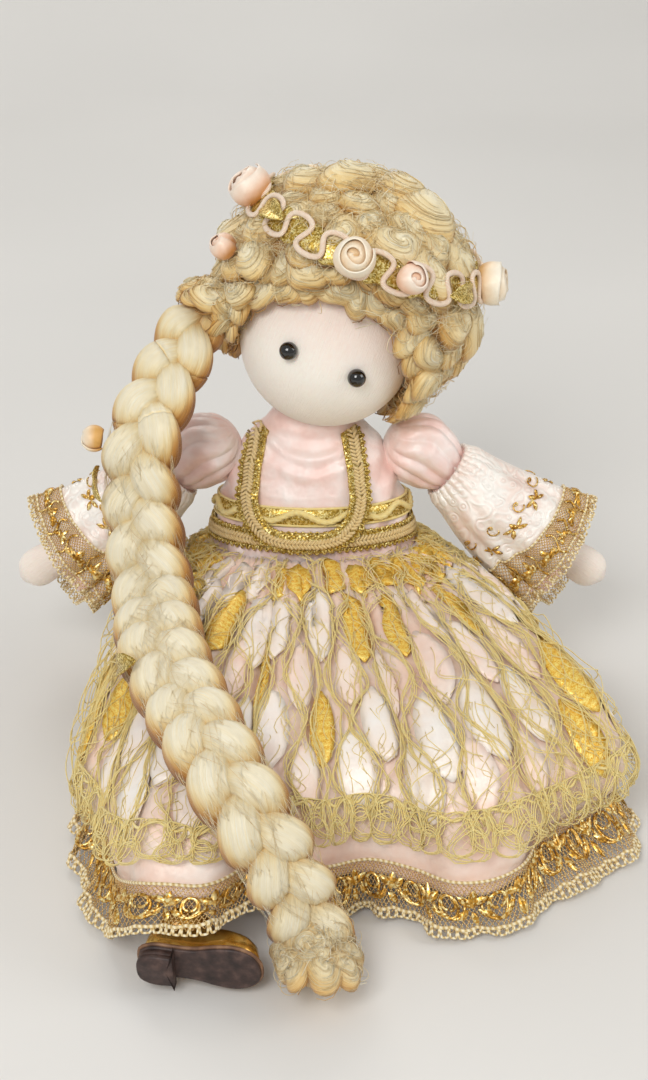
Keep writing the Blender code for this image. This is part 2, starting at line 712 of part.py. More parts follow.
def bell_grid(sign, around, steps, start=0.0, end=1.0, wave=BELL_WAVE):
    """Middle surface of the bell sleeve, from its ring round the cuff to its open mouth."""
    shoulder, along, up, front = arm_frame(sign)
    angle = np.linspace(0, 2 * math.pi, around, endpoint=False)
    first = shoulder + along * BELL_START_AT
    mouth = np.array([sign * BELL_MOUTH_X, BELL_MOUTH_Y, BELL_MOUTH_Z])
    grid = []
    for share in np.linspace(start, end, steps):
        centre = first + (mouth - first) * share
        lean = float(ramp(share, 0.0, 1.0))
        tall = unit(up * (1 - lean) + np.array([0, 0, 1]) * lean)
        open_share = share ** 1.5
        height = BELL_START_RADIUS + (BELL_MOUTH_HEIGHT - BELL_START_RADIUS) * open_share
        depth = BELL_START_RADIUS + (BELL_MOUTH_DEPTH - BELL_START_RADIUS) * open_share
        fold = wave * share * np.cos(5 * angle)
        grid.append(centre + np.outer((height + fold) * np.cos(angle), tall)
                    + np.outer((depth + fold) * np.sin(angle), front))
    return np.array(grid)


def make_bell(side, sign, finish):
    """Wide bell sleeve over the arm, open at the hand."""
    shoulder = arm_frame(sign)[0]
    half = CLOTH_THICKNESS / 2
    bell = shell("bell_sleeve_" + side, bell_grid(sign, BELL_COLUMNS, 6), -half, half, finish)
    place_origin(bell, shoulder)
    return bell


def make_sleeve_lace(side, sign, finish):
    """Lace band sewn round the bell's mouth and standing past its edge."""
    shoulder = arm_frame(sign)[0]
    reach = np.array([BELL_MOUTH_X - SHOULDER_X, BELL_MOUTH_Z - SHOULDER_HEIGHT])
    run = np.linalg.norm(reach) - BELL_START_AT
    start = 1.0 - (SLEEVE_LACE_WIDTH - SLEEVE_LACE_OVERHANG) / run
    end = 1.0 + SLEEVE_LACE_OVERHANG / run
    near = CLOTH_THICKNESS / 2 + LAYER_GAP
    band = bell_grid(sign, BELL_COLUMNS, 2, start, end)
    lace = shell("sleeve_lace_" + side, band, near, near + LACE_THICKNESS, finish)
    place_origin(lace, shoulder)
    return lace


# Legs and shoes

def leg_points(side):
    """Middle line of a leg: hip, knee and ankle, from its lengths and the way it lies."""
    sign, thigh, shin = {"right": (-1, RIGHT_THIGH_ANGLE, RIGHT_SHIN_ANGLE),
                         "left": (1, LEFT_THIGH_ANGLE, LEFT_SHIN_ANGLE)}[side]
    hip = np.array([sign * HIP_X, HIP_Y, HIP_Z])
    knee = hip + THIGH_LENGTH * np.array([sign * math.sin(thigh), -math.cos(thigh), 0])
    knee[2] = KNEE_RADIUS - FLOOR_FLAT
    ankle = knee + (LEG_LENGTH - THIGH_LENGTH) * np.array([sign * math.sin(shin), -math.cos(shin), 0])
    ankle[2] = ANKLE_LIFT
    return hip, knee, ankle


def leg_end_way(side):
    """Direction in which the leg points at the ankle."""
    hip, knee, ankle = leg_points(side)
    return unit((ankle - knee) * np.array([1, 1, 0]))


def shoe_down(side):
    """Direction from the ankle to the sole: the foot points down a little more than the leg."""
    way = leg_end_way(side)
    return unit(way * math.cos(SHOE_TURN) - np.array([0, 0, math.sin(SHOE_TURN)]))


def make_leg(side, finish):
    """Stuffed leg, full at the thigh and calf, drawn in at the knee and ankle, flat on the floor."""
    hip, knee, ankle = leg_points(side)
    bend = (hip + knee) / 2, (knee + ankle) / 2
    bent_knee = knee * KNEE_PULL_SHARE + (hip + ankle) * (1 - KNEE_PULL_SHARE) / 2
    path = smooth_curve([hip, bend[0], bent_knee, bend[1], ankle], 15)
    way = np.gradient(path, axis=0)
    way[0] = unit(knee - hip)
    way[-1] = shoe_down(side)
    way /= np.linalg.norm(way, axis=1, keepdims=True)
    share = np.linspace(0, 1, len(path))
    radius = np.interp(share, [0, 0.25, 0.45, 0.65, 0.85, 1.0],
                       [THIGH_RADIUS, THIGH_RADIUS * 0.95, KNEE_RADIUS, KNEE_RADIUS * 0.98,
                        ANKLE_RADIUS * 1.05, ANKLE_RADIUS])
    around = np.linspace(0, 2 * math.pi, 18, endpoint=False)
    rings = []
    for polar in np.radians([168, 145, 120]):
        centre = hip + way[0] * THIGH_RADIUS * math.cos(polar)
        rings.append(ring_across(centre, way[0], THIGH_RADIUS * math.sin(polar), around))
    for centre, tangent, reach in zip(path, way, radius):
        rings.append(ring_across(centre, tangent, reach, around))
    rings = np.array(rings)
    rings[:, :, 2] = np.maximum(rings[:, :, 2], 0.0)
    leg = skin("leg_" + side, rings, finish)
    place_origin(leg, hip)
    return leg


def ring_across(centre, tangent, radius, around):
    """A circle of points square to a direction that is nearly level."""
    side = unit(np.cross(tangent, [0, 0, 1]))
    up = np.cross(side, tangent)
    return centre + radius * (np.outer(np.cos(around), side) + np.outer(np.sin(around), up))


def shoe_frame(side):
    """Middle of the shoe's collar, and its toe, sole and side directions."""
    sign = -1 if side == "right" else 1
    ankle = leg_points(side)[2]
    way = leg_end_way(side)
    down = shoe_down(side)
    toe = unit(np.cross([0, 0, -sign], way))
    return ankle + down * TOUCH_GAP, toe, down, np.cross(down, toe)


def sole_outline(length, half_width, back):
    """Closed outline of a sole in its plane: toe coordinate and side coordinate."""
    table = np.array(SOLE_SHARES)
    along = table[:, 0] * length - back
    across = table[:, 1] * half_width
    return np.concatenate([np.stack([along, across], axis=1), np.stack([along, -across], axis=1)[::-1]])


def make_shoe(side, upper_finish, sole_finish):
    """Shoe on its side: glossy upper, thin sole with a welt, and a low heel block."""
    collar, toe, down, across = shoe_frame(side)
    hip = leg_points(side)[0]
    back = SHOE_LENGTH * 0.30
    rings = []
    for rise, length, width in UPPER_SHARES:
        flat = sole_outline(SHOE_LENGTH * length, SHOE_WIDTH / 2 * width, back * length)
        rings.append(collar + down * SHOE_HEIGHT * (1 - rise) + flat[:, :1] * toe + flat[:, 1:] * across)
    flat = sole_outline(SHOE_LENGTH, SHOE_WIDTH / 2, back)
    angle = np.arctan2(flat[:, 1], flat[:, 0])
    for rise, radius in ((0.84, SHOE_COLLAR_RADIUS * 1.1), (1.0, SHOE_COLLAR_RADIUS)):
        ring = np.stack([np.cos(angle), np.sin(angle)], axis=1) * radius
        rings.append(collar + down * SHOE_HEIGHT * (1 - rise) + ring[:, :1] * toe + ring[:, 1:] * across)
    upper = skin("shoe_upper_" + side, np.array(rings), upper_finish)
    sole_flat = sole_outline(SHOE_LENGTH + 2 * SOLE_MARGIN, SHOE_WIDTH / 2 + SOLE_MARGIN, back + SOLE_MARGIN)
    rings = []
    for depth in (TOUCH_GAP, TOUCH_GAP + SOLE_THICKNESS):
        flat = sole_flat[:, :1] * toe + sole_flat[:, 1:] * across
        rings.append(collar + down * (SHOE_HEIGHT + depth) + flat)
    sole = skin("shoe_sole_" + side, np.array(rings), sole_finish, smooth=False)
    heel_flat = sole_flat[(sole_flat[:, 0] < HEEL_LENGTH - back)]
    heel_flat = heel_flat * np.array([1.0, 0.96])
    rings = []
    for depth in (2 * TOUCH_GAP + SOLE_THICKNESS, 2 * TOUCH_GAP + SOLE_THICKNESS + HEEL_HEIGHT):
        flat = heel_flat[:, :1] * toe + heel_flat[:, 1:] * across
        rings.append(collar + down * (SHOE_HEIGHT + depth) + flat)
    heel = skin("shoe_heel_" + side, np.array(rings), sole_finish, smooth=False)
    for piece in (upper, sole, heel):
        place_origin(piece, hip)


# Dress

def make_bodice(finish, sockets):
    """Satin bodice over the chest, open at the neck and cut away for the sleeve heads."""
    low, high = BODICE_BOTTOM / TORSO_HEIGHT, BODICE_TOP / TORSO_HEIGHT
    shares = [low] + [row[0] for row in TORSO_SHARES if low < row[0] < high] + [high]
    bodice = shell("bodice", torso_grid(shares, BODY_COLUMNS), LAYER_GAP, LAYER_GAP + CLOTH_THICKNESS, finish)
    for socket in sockets:
        cut(bodice, socket)
    return bodice


def make_belts(gilt, cream):
    """Gimp trim at the waist and the waved trim above it."""
    near = 2 * LAYER_GAP + CLOTH_THICKNESS
    for name, height, width, finish in (("waist_trim", WAIST_TRIM_AT, WAIST_TRIM_WIDTH, gilt),
                                        ("wave_trim", WAVE_TRIM_AT, WAVE_TRIM_WIDTH, cream)):
        grid = belt_grid([height - width / 2, height + width / 2], BODY_COLUMNS)
        shell(name, grid, near, near + TRIM_THICKNESS, finish)


def chest_points(x, height):
    """Front of the chest at distances to the side and heights along the spine."""
    share = height / TORSO_HEIGHT
    for _ in range(3):
        width = np.interp(share, *np.array(TORSO_SHARES).T[:2]) * TORSO_HALF_WIDTH
        angle = -np.arccos(np.clip(x / width, -1, 1))
        off_spine = torso_points(share, angle)[..., 1] - math.tan(TORSO_LEAN) * height
        share = (height - math.tan(TORSO_LEAN) * off_spine) / TORSO_HEIGHT
    return torso_points(share, angle)


def make_u_trim(finish):
    """Gimp trim from both shoulders down the chest, over the belts and across in a U at the waist."""
    low = WAIST_TRIM_AT
    flat = [(-U_TRIM_HALF_SPAN * U_TRIM_TOP_SPAN_SHARE, U_TRIM_TOP), (-U_TRIM_HALF_SPAN, U_TRIM_BEND),
            (-U_TRIM_HALF_SPAN, low + U_TRIM_CURVE)]
    for turn in np.radians([210, 240]):
        flat.append((-U_TRIM_HALF_SPAN + U_TRIM_CURVE + U_TRIM_CURVE * math.cos(turn),
                     low + U_TRIM_CURVE + U_TRIM_CURVE * math.sin(turn)))
    flat += [(-U_TRIM_HALF_SPAN + U_TRIM_CURVE, low), (0.0, low)]
    flat += [(-x, z) for x, z in reversed(flat[:-1])]
    line = smooth_curve(flat, 31) + np.array([U_TRIM_SHIFT_X, 0.0])
    tangent = np.gradient(line, axis=0)
    tangent /= np.linalg.norm(tangent, axis=1, keepdims=True)
    side = np.stack([-tangent[:, 1], tangent[:, 0]], axis=1)
    belt_top = WAVE_TRIM_AT + WAVE_TRIM_WIDTH / 2
    sheets = {}
    for place, offset in (("inner", -TRIM_WIDTH / 2), ("middle", 0.0), ("outer", TRIM_WIDTH / 2)):
        x, height = (line + side * offset).T
        points = chest_points(x, height)
        across = chest_points(x + TOUCH_GAP, height) - points
        rise = chest_points(x, height + TOUCH_GAP) - points
        normal = np.cross(across, rise)
        normal /= np.linalg.norm(normal, axis=1, keepdims=True)
        over_belts = 1 - ramp(line[:, 1], belt_top + TRIM_WIDTH / 4, belt_top + TRIM_WIDTH)
        near = 2 * LAYER_GAP + CLOTH_THICKNESS + TOUCH_GAP + (TRIM_THICKNESS + TOUCH_GAP) * over_belts
        near = near[:, None]
        sheets[place] = (points + normal * near, points + normal * (near + TRIM_THICKNESS))
    rings = [sheets["inner"][0], sheets["inner"][1], sheets["middle"][1], sheets["outer"][1],
             sheets["outer"][0], sheets["middle"][0]]
    return skin("bodice_u_trim", np.array(rings).transpose(1, 0, 2), finish)


def skirt_lines(around):
    """Waist ring and hem ring of the skirt, matched by their direction from the middle."""
    hem = smooth_curve(np.array(HEM_SHARES) * HEM_REACH, around, closed=True)
    angle = np.arctan2(hem[:, 1], hem[:, 0])
    middle = spine(WAIST_AT)
    ring = torso_points(np.array(WAIST_AT / TORSO_HEIGHT), angle)
    away = unit_rows((ring - middle) * np.array([1, 1, 0]))
    waist = ring + away * (LAYER_GAP + CLOTH_THICKNESS + WAIST_CLEARANCE)
    waist[:, 2] -= math.tan(TORSO_LEAN) * (waist[:, 1] - middle[1])
    hem = np.stack([hem[:, 0] + HEM_CENTRE_X, hem[:, 1] + HEM_CENTRE_Y, 0 * angle], axis=1)
    lift = np.exp(-((hem[:, 0] - SHOE_LIFT_X) / SHOE_LIFT_HALF_WIDTH) ** 4)
    hem[:, 2] = SHOE_LIFT * lift * (hem[:, 1] < HEM_CENTRE_Y)
    return waist, hem


def skirt_surface():
    """Skirt surface with its normals: gathered at the waist, laid over the legs, flared at the hem.

    Each column runs from the waist ring to the hem ring along the section table; folds swell
    the surface in and out along its normal, and the lap sags between the legs.
    """
    waist, hem = skirt_lines(SKIRT_COLUMNS)
    section = smooth_curve(SKIRT_SECTION_SHARES, 61)
    length = np.linspace(0, 1, len(section))
    shares = np.array(SKIRT_ROW_SHARES)
    run = np.interp(shares, length, section[:, 0])[:, None]
    rise = np.interp(shares, length, section[:, 1])[:, None]
    grid = waist[None] + (hem - waist)[None] * run[..., None]
    grid[..., 2] = waist[None, :, 2] * rise + hem[None, :, 2] * (1 - rise)
    sag = np.exp(-((grid[..., 0] - LAP_SAG_X) / LAP_SAG_HALF_WIDTH) ** 2) * (grid[..., 1] < HIP_Y)
    grid[..., 2] -= LAP_SAG * sag * np.sin(math.pi * np.clip(run, 0, 1)) ** 2
    column = np.linspace(0, 2 * math.pi, SKIRT_COLUMNS, endpoint=False)
    fade = (ramp(shares, 0.05, 0.42) * (1 - ramp(shares, 0.93, 1.0)))[:, None]
    fold = SKIRT_FOLD_DEPTH * np.cos(SKIRT_FOLDS * column + 0.8 * np.sin(3 * column))
    grid = grid + surface_normals(grid) * (fade * fold)[..., None]
    return grid, surface_normals(grid), hem[:, 2]


def make_skirt(satin, lace, cream, bronze):
    """Satin skirt, lace overlay with its edging, and the hem flounce, in two layers."""
    grid, normal, hem_height = skirt_surface()
    over = CLOTH_THICKNESS + OVERLAY_GAP
    layers = (("skirt", SATIN_ROWS, 0.0, CLOTH_THICKNESS, satin),
              ("skirt_overlay", OVERLAY_ROWS, over, LACE_THICKNESS, lace),
              ("overlay_edging", EDGING_ROWS, over, LACE_THICKNESS, cream),
              ("hem_flounce", FLOUNCE_ROWS, over, CLOTH_THICKNESS, bronze))
    for name, (first, last), near, thickness, finish in layers:
        rows = slice(first, last)
        inner = grid[rows] + normal[rows] * near
        outer = grid[rows] + normal[rows] * (near + thickness)
        if last == len(grid):
            inner[-1, :, 2] = hem_height
            outer[-1, :, 2] = hem_height
        skin(name, np.concatenate([outer, inner[::-1]]), finish, wrap=True)


# Plait

PLAIT_TAPER_SHARES = [0.78, 0.92, 1.0, 0.84, 0.98]
PLAIT_ROUTE = [
    (-0.0346, 0.0116, 0.1394), (-0.0408, 0.0046, 0.1302), (-0.0483, -0.0080, 0.1186),
    (-0.0533, -0.0195, 0.1066), (-0.0540, -0.0250, 0.0892), (-0.0525, -0.0330, 0.0766),
    (-0.0492, -0.0470, 0.0655), (-0.0446, -0.0752, 0.0645), (-0.0366, -0.0971, 0.0620),
    (-0.0276, -0.1190, 0.0606), (-0.0162, -0.1362, 0.0512), (-0.0060, -0.1410, 0.0327),
    (-0.0004, -0.1420, 0.0175), (0.0022, -0.1490, 0.0102), (0.0040, -0.1590, 0.0098),
]
PLAIT_FACES = [
    (-0.30, -0.90, 0.30), (-0.30, -0.90, 0.30), (-0.35, -0.90, 0.20), (-0.35, -0.90, 0.10),
    (-0.30, -0.90, 0.30), (-0.30, -0.70, 0.60), (-0.30, -0.30, 0.90), (-0.15, -0.10, 0.98),
    (-0.25, -0.10, 0.95), (-0.10, -0.35, 0.94), (0.10, -0.70, 0.70), (0.20, -0.80, 0.50),
    (0.10, -0.75, 0.65), (0.00, -0.30, 0.95), (0.00, -0.10, 1.00),
]


def plait_route():
    """The plait's middle line with its length, side and face directions and taper."""
    fine = smooth_curve(PLAIT_ROUTE, 401)
    arc = np.concatenate([[0], np.cumsum(np.linalg.norm(np.diff(fine, axis=0), axis=1))])
    corners = np.linalg.norm(fine[:, None] - np.array(PLAIT_ROUTE)[None], axis=2).argmin(axis=0)
    facing = np.stack([np.interp(arc, arc[corners], row) for row in np.array(PLAIT_FACES).T], axis=1)
    tuft = arc[-1] - TUFT_LENGTH
    taper = np.interp(arc, [0, PLAIT_TOP_LENGTH, tuft / 2, tuft, arc[-1]], PLAIT_TAPER_SHARES)
    return (arc, fine, *path_frames(fine, facing), taper[:, None])


def plait_rings(route, at, around):
    """Cross-sections of the plait at distances along its route.

    The outline is an oval whose lobes swell on one side, then on the other.
    """
    path, side, face, taper = [np.stack([np.interp(at, route[0], row) for row in rows.T], axis=1)
                               for rows in route[1:]]
    angle = np.linspace(0, 2 * math.pi, around, endpoint=False)
    beat = np.cos(2 * math.pi * at / PLAIT_PITCH)[:, None]
    width = PLAIT_HALF_WIDTH * taper * (1 + PLAIT_LOBE_SIDE_SHARE * np.cos(angle) * beat)
    depth = PLAIT_HALF_DEPTH * taper * (1 + PLAIT_LOBE_DEPTH_SHARE * (2 * beat ** 2 - 1))
    rings = path[:, None, :] + (width * np.cos(angle))[..., None] * side[:, None, :]
    rings = rings + (depth * np.sin(angle))[..., None] * face[:, None, :]
    rings[:, :, 2] = np.maximum(rings[:, :, 2], 0.0)
    return rings


def make_plait(route, finish):
    """Long plait: from the wig to the shoulder, on down over the lap, and its loose tuft."""
    end = route[0][-1]
    tuft = end - TUFT_LENGTH
    stretches = (("plait_top", 0.0, PLAIT_TOP_LENGTH - TOUCH_GAP / 2, 9),
                 ("plait", PLAIT_TOP_LENGTH + TOUCH_GAP / 2, tuft - TOUCH_GAP / 2, 46),
                 ("plait_tuft", tuft + TOUCH_GAP / 2, end, 5))
    for name, first, last, steps in stretches:
        skin(name, plait_rings(route, np.linspace(first, last, steps), PLAIT_SIDES), finish)


def make_plait_flowers(route, finishes):
    """Rosebud and ribbon leaves pinned to the side of the plait."""
    table = (("plait_bud", 1.3, PLAIT_BUD_AT, 1), ("plait_leaf_upper", 0, PLAIT_LEAF_AT, 1),
             ("plait_leaf_lower", 0, PLAIT_LOWER_LEAF_AT, 1))
    for name, turns, at, corner in table:
        before, ring, after = plait_rings(route, np.array([at - TOUCH_GAP, at, at + TOUCH_GAP]), PLAIT_SIDES)
        spot = (ring[corner] + ring[corner - 1]) / 2
        aside = unit(ring[corner - 1] - ring[corner])
        down = unit(after.mean(axis=0) - before.mean(axis=0))
        out = unit(np.cross(aside, down))
        out = out * np.sign(np.dot(out, spot - ring.mean(axis=0)))
        base = spot + out * 2 * TOUCH_GAP
        if turns:
            make_rose(name, base, out, turns, finishes["cream"])
        else:
            make_leaf(name, base, down * 0.9 + aside, out, finishes["olive"])


def build():
    """Make every piece of the doll."""
    clear_scene()
    knit = material("knit", KNIT, 0.85)
    curl = material("curl", CURL, 0.55)
    satin = material("satin", SATIN, 0.32)
    pearl = material("pearl", PEARL, 0.40)
    lace = material("lace", LACE, 0.70)
    gilt = material("gilt", GILT, 0.45, 0.5)
    bronze = material("bronze_lace", BRONZE_LACE, 0.50, 0.4)
    cream = material("cream", CREAM, 0.75)
    bead = material("bead", BEAD, 0.08)
    vinyl = material("gold_vinyl", GOLD_VINYL, 0.22, 0.6)
    leather = material("sole", SOLE_BROWN, 0.50)
    ribbons = {"peach": material("rose_ribbon", ROSE, 0.45), "cream": material("cream_ribbon", CREAM, 0.45),
               "olive": material("olive_ribbon", OLIVE, 0.45, 0.3)}
    sides = (("right", -1), ("left", 1))
    sockets = [ball("shoulder_socket_" + side, arm_frame(sign)[0], PUFF_RADIUS + SWING_GAP, knit)
               for side, sign in sides]
    make_torso(knit, sockets)
    make_neck(knit)
    make_head(knit)
    make_wig(curl)
    make_circlet(gilt)
    make_circlet_roses(ribbons)
    for side, sign in sides:
        make_eye("eye_" + side, sign, bead)
        make_arm(side, sign, knit)
        make_puff(side, sign, satin)
        make_bell(side, sign, pearl)
        make_sleeve_lace(side, sign, bronze)
        make_leg(side, knit)
        make_shoe(side, vinyl, leather)
    make_bodice(satin, sockets)
    make_belts(gilt, cream)
    make_u_trim(gilt)
    make_skirt(satin, lace, cream, bronze)
    route = plait_route()
    make_plait(route, curl)
    make_plait_flowers(route, ribbons)


build()
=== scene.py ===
import math

import bpy
import numpy as np
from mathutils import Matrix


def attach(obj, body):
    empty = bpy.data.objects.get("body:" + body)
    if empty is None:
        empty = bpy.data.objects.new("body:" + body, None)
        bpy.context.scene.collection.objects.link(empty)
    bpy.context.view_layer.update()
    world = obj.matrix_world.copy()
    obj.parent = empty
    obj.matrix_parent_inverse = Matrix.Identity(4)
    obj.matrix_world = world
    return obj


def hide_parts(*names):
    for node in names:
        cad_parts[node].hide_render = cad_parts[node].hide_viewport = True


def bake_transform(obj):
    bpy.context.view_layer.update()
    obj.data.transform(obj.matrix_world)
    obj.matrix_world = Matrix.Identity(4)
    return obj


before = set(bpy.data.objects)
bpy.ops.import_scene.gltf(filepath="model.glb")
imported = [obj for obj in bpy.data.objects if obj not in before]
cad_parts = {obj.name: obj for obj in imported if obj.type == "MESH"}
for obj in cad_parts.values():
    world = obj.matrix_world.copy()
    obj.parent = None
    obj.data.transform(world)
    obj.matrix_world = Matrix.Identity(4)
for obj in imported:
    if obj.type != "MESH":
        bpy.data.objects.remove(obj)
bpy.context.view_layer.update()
rng = np.random.default_rng(23)
draw = rng.uniform
TURN = 2 * math.pi


# Vectors and curves

def unit(vector):
    """The vector at length one."""
    vector = np.array(vector, float)
    return vector / np.linalg.norm(vector)


def unit_rows(vectors):
    """Each vector of an array at length one."""
    return vectors / np.maximum(np.linalg.norm(vectors, axis=-1, keepdims=True), 1e-12)


def ramp(value, low, high):
    """Smooth step from 0 at low to 1 at high."""
    x = np.clip((value - low) / (high - low), 0, 1)
    return x * x * (3 - 2 * x)


def turned(angle, axis):
    """Rotation matrix by the right-hand rule about a main axis."""
    c, s = math.cos(angle), math.sin(angle)
    rows = {"X": [[1, 0, 0], [0, c, -s], [0, s, c]], "Y": [[c, 0, s], [0, 1, 0], [-s, 0, c]],
            "Z": [[c, -s, 0], [s, c, 0], [0, 0, 1]]}
    return np.array(rows[axis])


def smooth_curve(points, count, closed=False):
    """Points at even steps of length along a Catmull-Rom curve through the given points."""
    points = np.array(points, float)
    if closed:
        padded = np.concatenate([points[-1:], points, points[:2]])
    else:
        padded = np.concatenate([2 * points[:1] - points[1:2], points, 2 * points[-1:] - points[-2:-1]])
    t = np.linspace(0, 1, 16, endpoint=False)[:, None]
    a, b, c, d = [padded[i:len(padded) - 3 + i, None] for i in range(4)]
    bend, twist = 2 * a - 5 * b + 4 * c - d, 3 * b - a - 3 * c + d
    runs = 0.5 * (2 * b + (c - a) * t + bend * t ** 2 + twist * t ** 3)
    fine = np.concatenate([runs.reshape(-1, points.shape[1]), points[:1] if closed else points[-1:]])
    length = np.concatenate([[0], np.cumsum(np.linalg.norm(np.diff(fine, axis=0), axis=1))])
    at = np.linspace(0, length[-1], count, endpoint=not closed)
    return np.stack([np.interp(at, length, column) for column in fine.T], axis=1)


def round_the_ring(count):
    """Even angles once round."""
    return np.linspace(0, TURN, count, endpoint=False)


def share_row(count):
    """Even shares from 0 to 1 as one row."""
    return np.linspace(0, 1, count)[None, :]


def swung(radius, angle, first, second, other=None):
    """Offsets radius cos(angle) first + other sin(angle) second, other being radius by default."""
    other = radius if other is None else other
    return (radius * np.cos(angle))[..., None] * first + (other * np.sin(angle))[..., None] * second


def above_floor(points, height):
    """Points lifted to at least a height over the floor."""
    return np.maximum(points, [-1.0, -1.0, height])


def tubes(paths, faces, width, depth=None, sides=8, ridges=0, ridge=0.0, twist=0.0):
    """Oval rings carried along paths.

    A point is path + width cos(angle) side + depth sin(angle) face, swelled by
    1 + ridge cos(ridges angle + twist step), where side and face are square to the path.
    """
    paths = np.asarray(paths, float)
    if paths.ndim == 2:
        paths = paths[None]
    tangent = unit_rows(np.gradient(paths, axis=1))
    side = unit_rows(np.cross(tangent, faces))
    face = np.cross(side, tangent)
    angle = round_the_ring(sides)
    width = np.broadcast_to(np.asarray(width, float), paths.shape[:2])[..., None]
    depth = width if depth is None else np.broadcast_to(np.asarray(depth, float), paths.shape[:2])[..., None]
    step = np.arange(paths.shape[1])[None, :, None]
    swell = 1 + ridge * np.cos(ridges * angle + twist * step)
    return paths[:, :, None] + swung(width * swell, angle, side[:, :, None], face[:, :, None], depth * swell)


def surface_normals(grid):
    """Unit normals of a grid that closes round its second direction, pointing away from its middle."""
    along = np.gradient(grid, axis=0)
    around = np.roll(grid, -1, axis=1) - np.roll(grid, 1, axis=1)
    normal = unit_rows(np.cross(around, along))
    return -normal if (normal * (grid - grid.mean(axis=(0, 1)))).sum() < 0 else normal


class Cloth:
    """A surface closed round its second direction. A place on it is a share along and a share around."""

    def __init__(self, grid):
        self.grid = grid
        self.normal = surface_normals(grid)
        self.reach = np.linalg.norm(np.diff(grid, axis=0), axis=2).sum(axis=0).mean()
        self.girths = np.linalg.norm(np.roll(grid, -1, axis=1) - grid, axis=2).sum(axis=1)

    def at(self, along, around, lift=0.0):
        """The point at shares of the surface, moved out along its normal by lift."""
        along, around, lift = np.broadcast_arrays(along, around, lift)
        rows, columns = self.grid.shape[:2]
        i = np.clip(along, 0, 1) * (rows - 1)
        j = (around % 1) * columns
        i0 = np.minimum(i.astype(int), rows - 2)
        j0 = j.astype(int) % columns
        j1 = (j0 + 1) % columns
        fi, fj = (i - i0)[..., None], (j - np.floor(j))[..., None]
        both = []
        for field in (self.grid, self.normal):
            low = field[i0, j0] * (1 - fj) + field[i0, j1] * fj
            high = field[i0 + 1, j0] * (1 - fj) + field[i0 + 1, j1] * fj
            both.append(low * (1 - fi) + high * fi)
        return both[0] + unit_rows(both[1]) * lift[..., None]

    def out(self, along, around):
        """The normal at shares of the surface."""
        return unit_rows(self.at(along, around, 1.0) - self.at(along, around, 0.0))

    def share_of_girth(self, width, along):
        """The share round the surface that a width takes at a share along it."""
        steps = np.linspace(0, 1, len(self.girths))
        return width / np.interp(along, steps, self.girths)


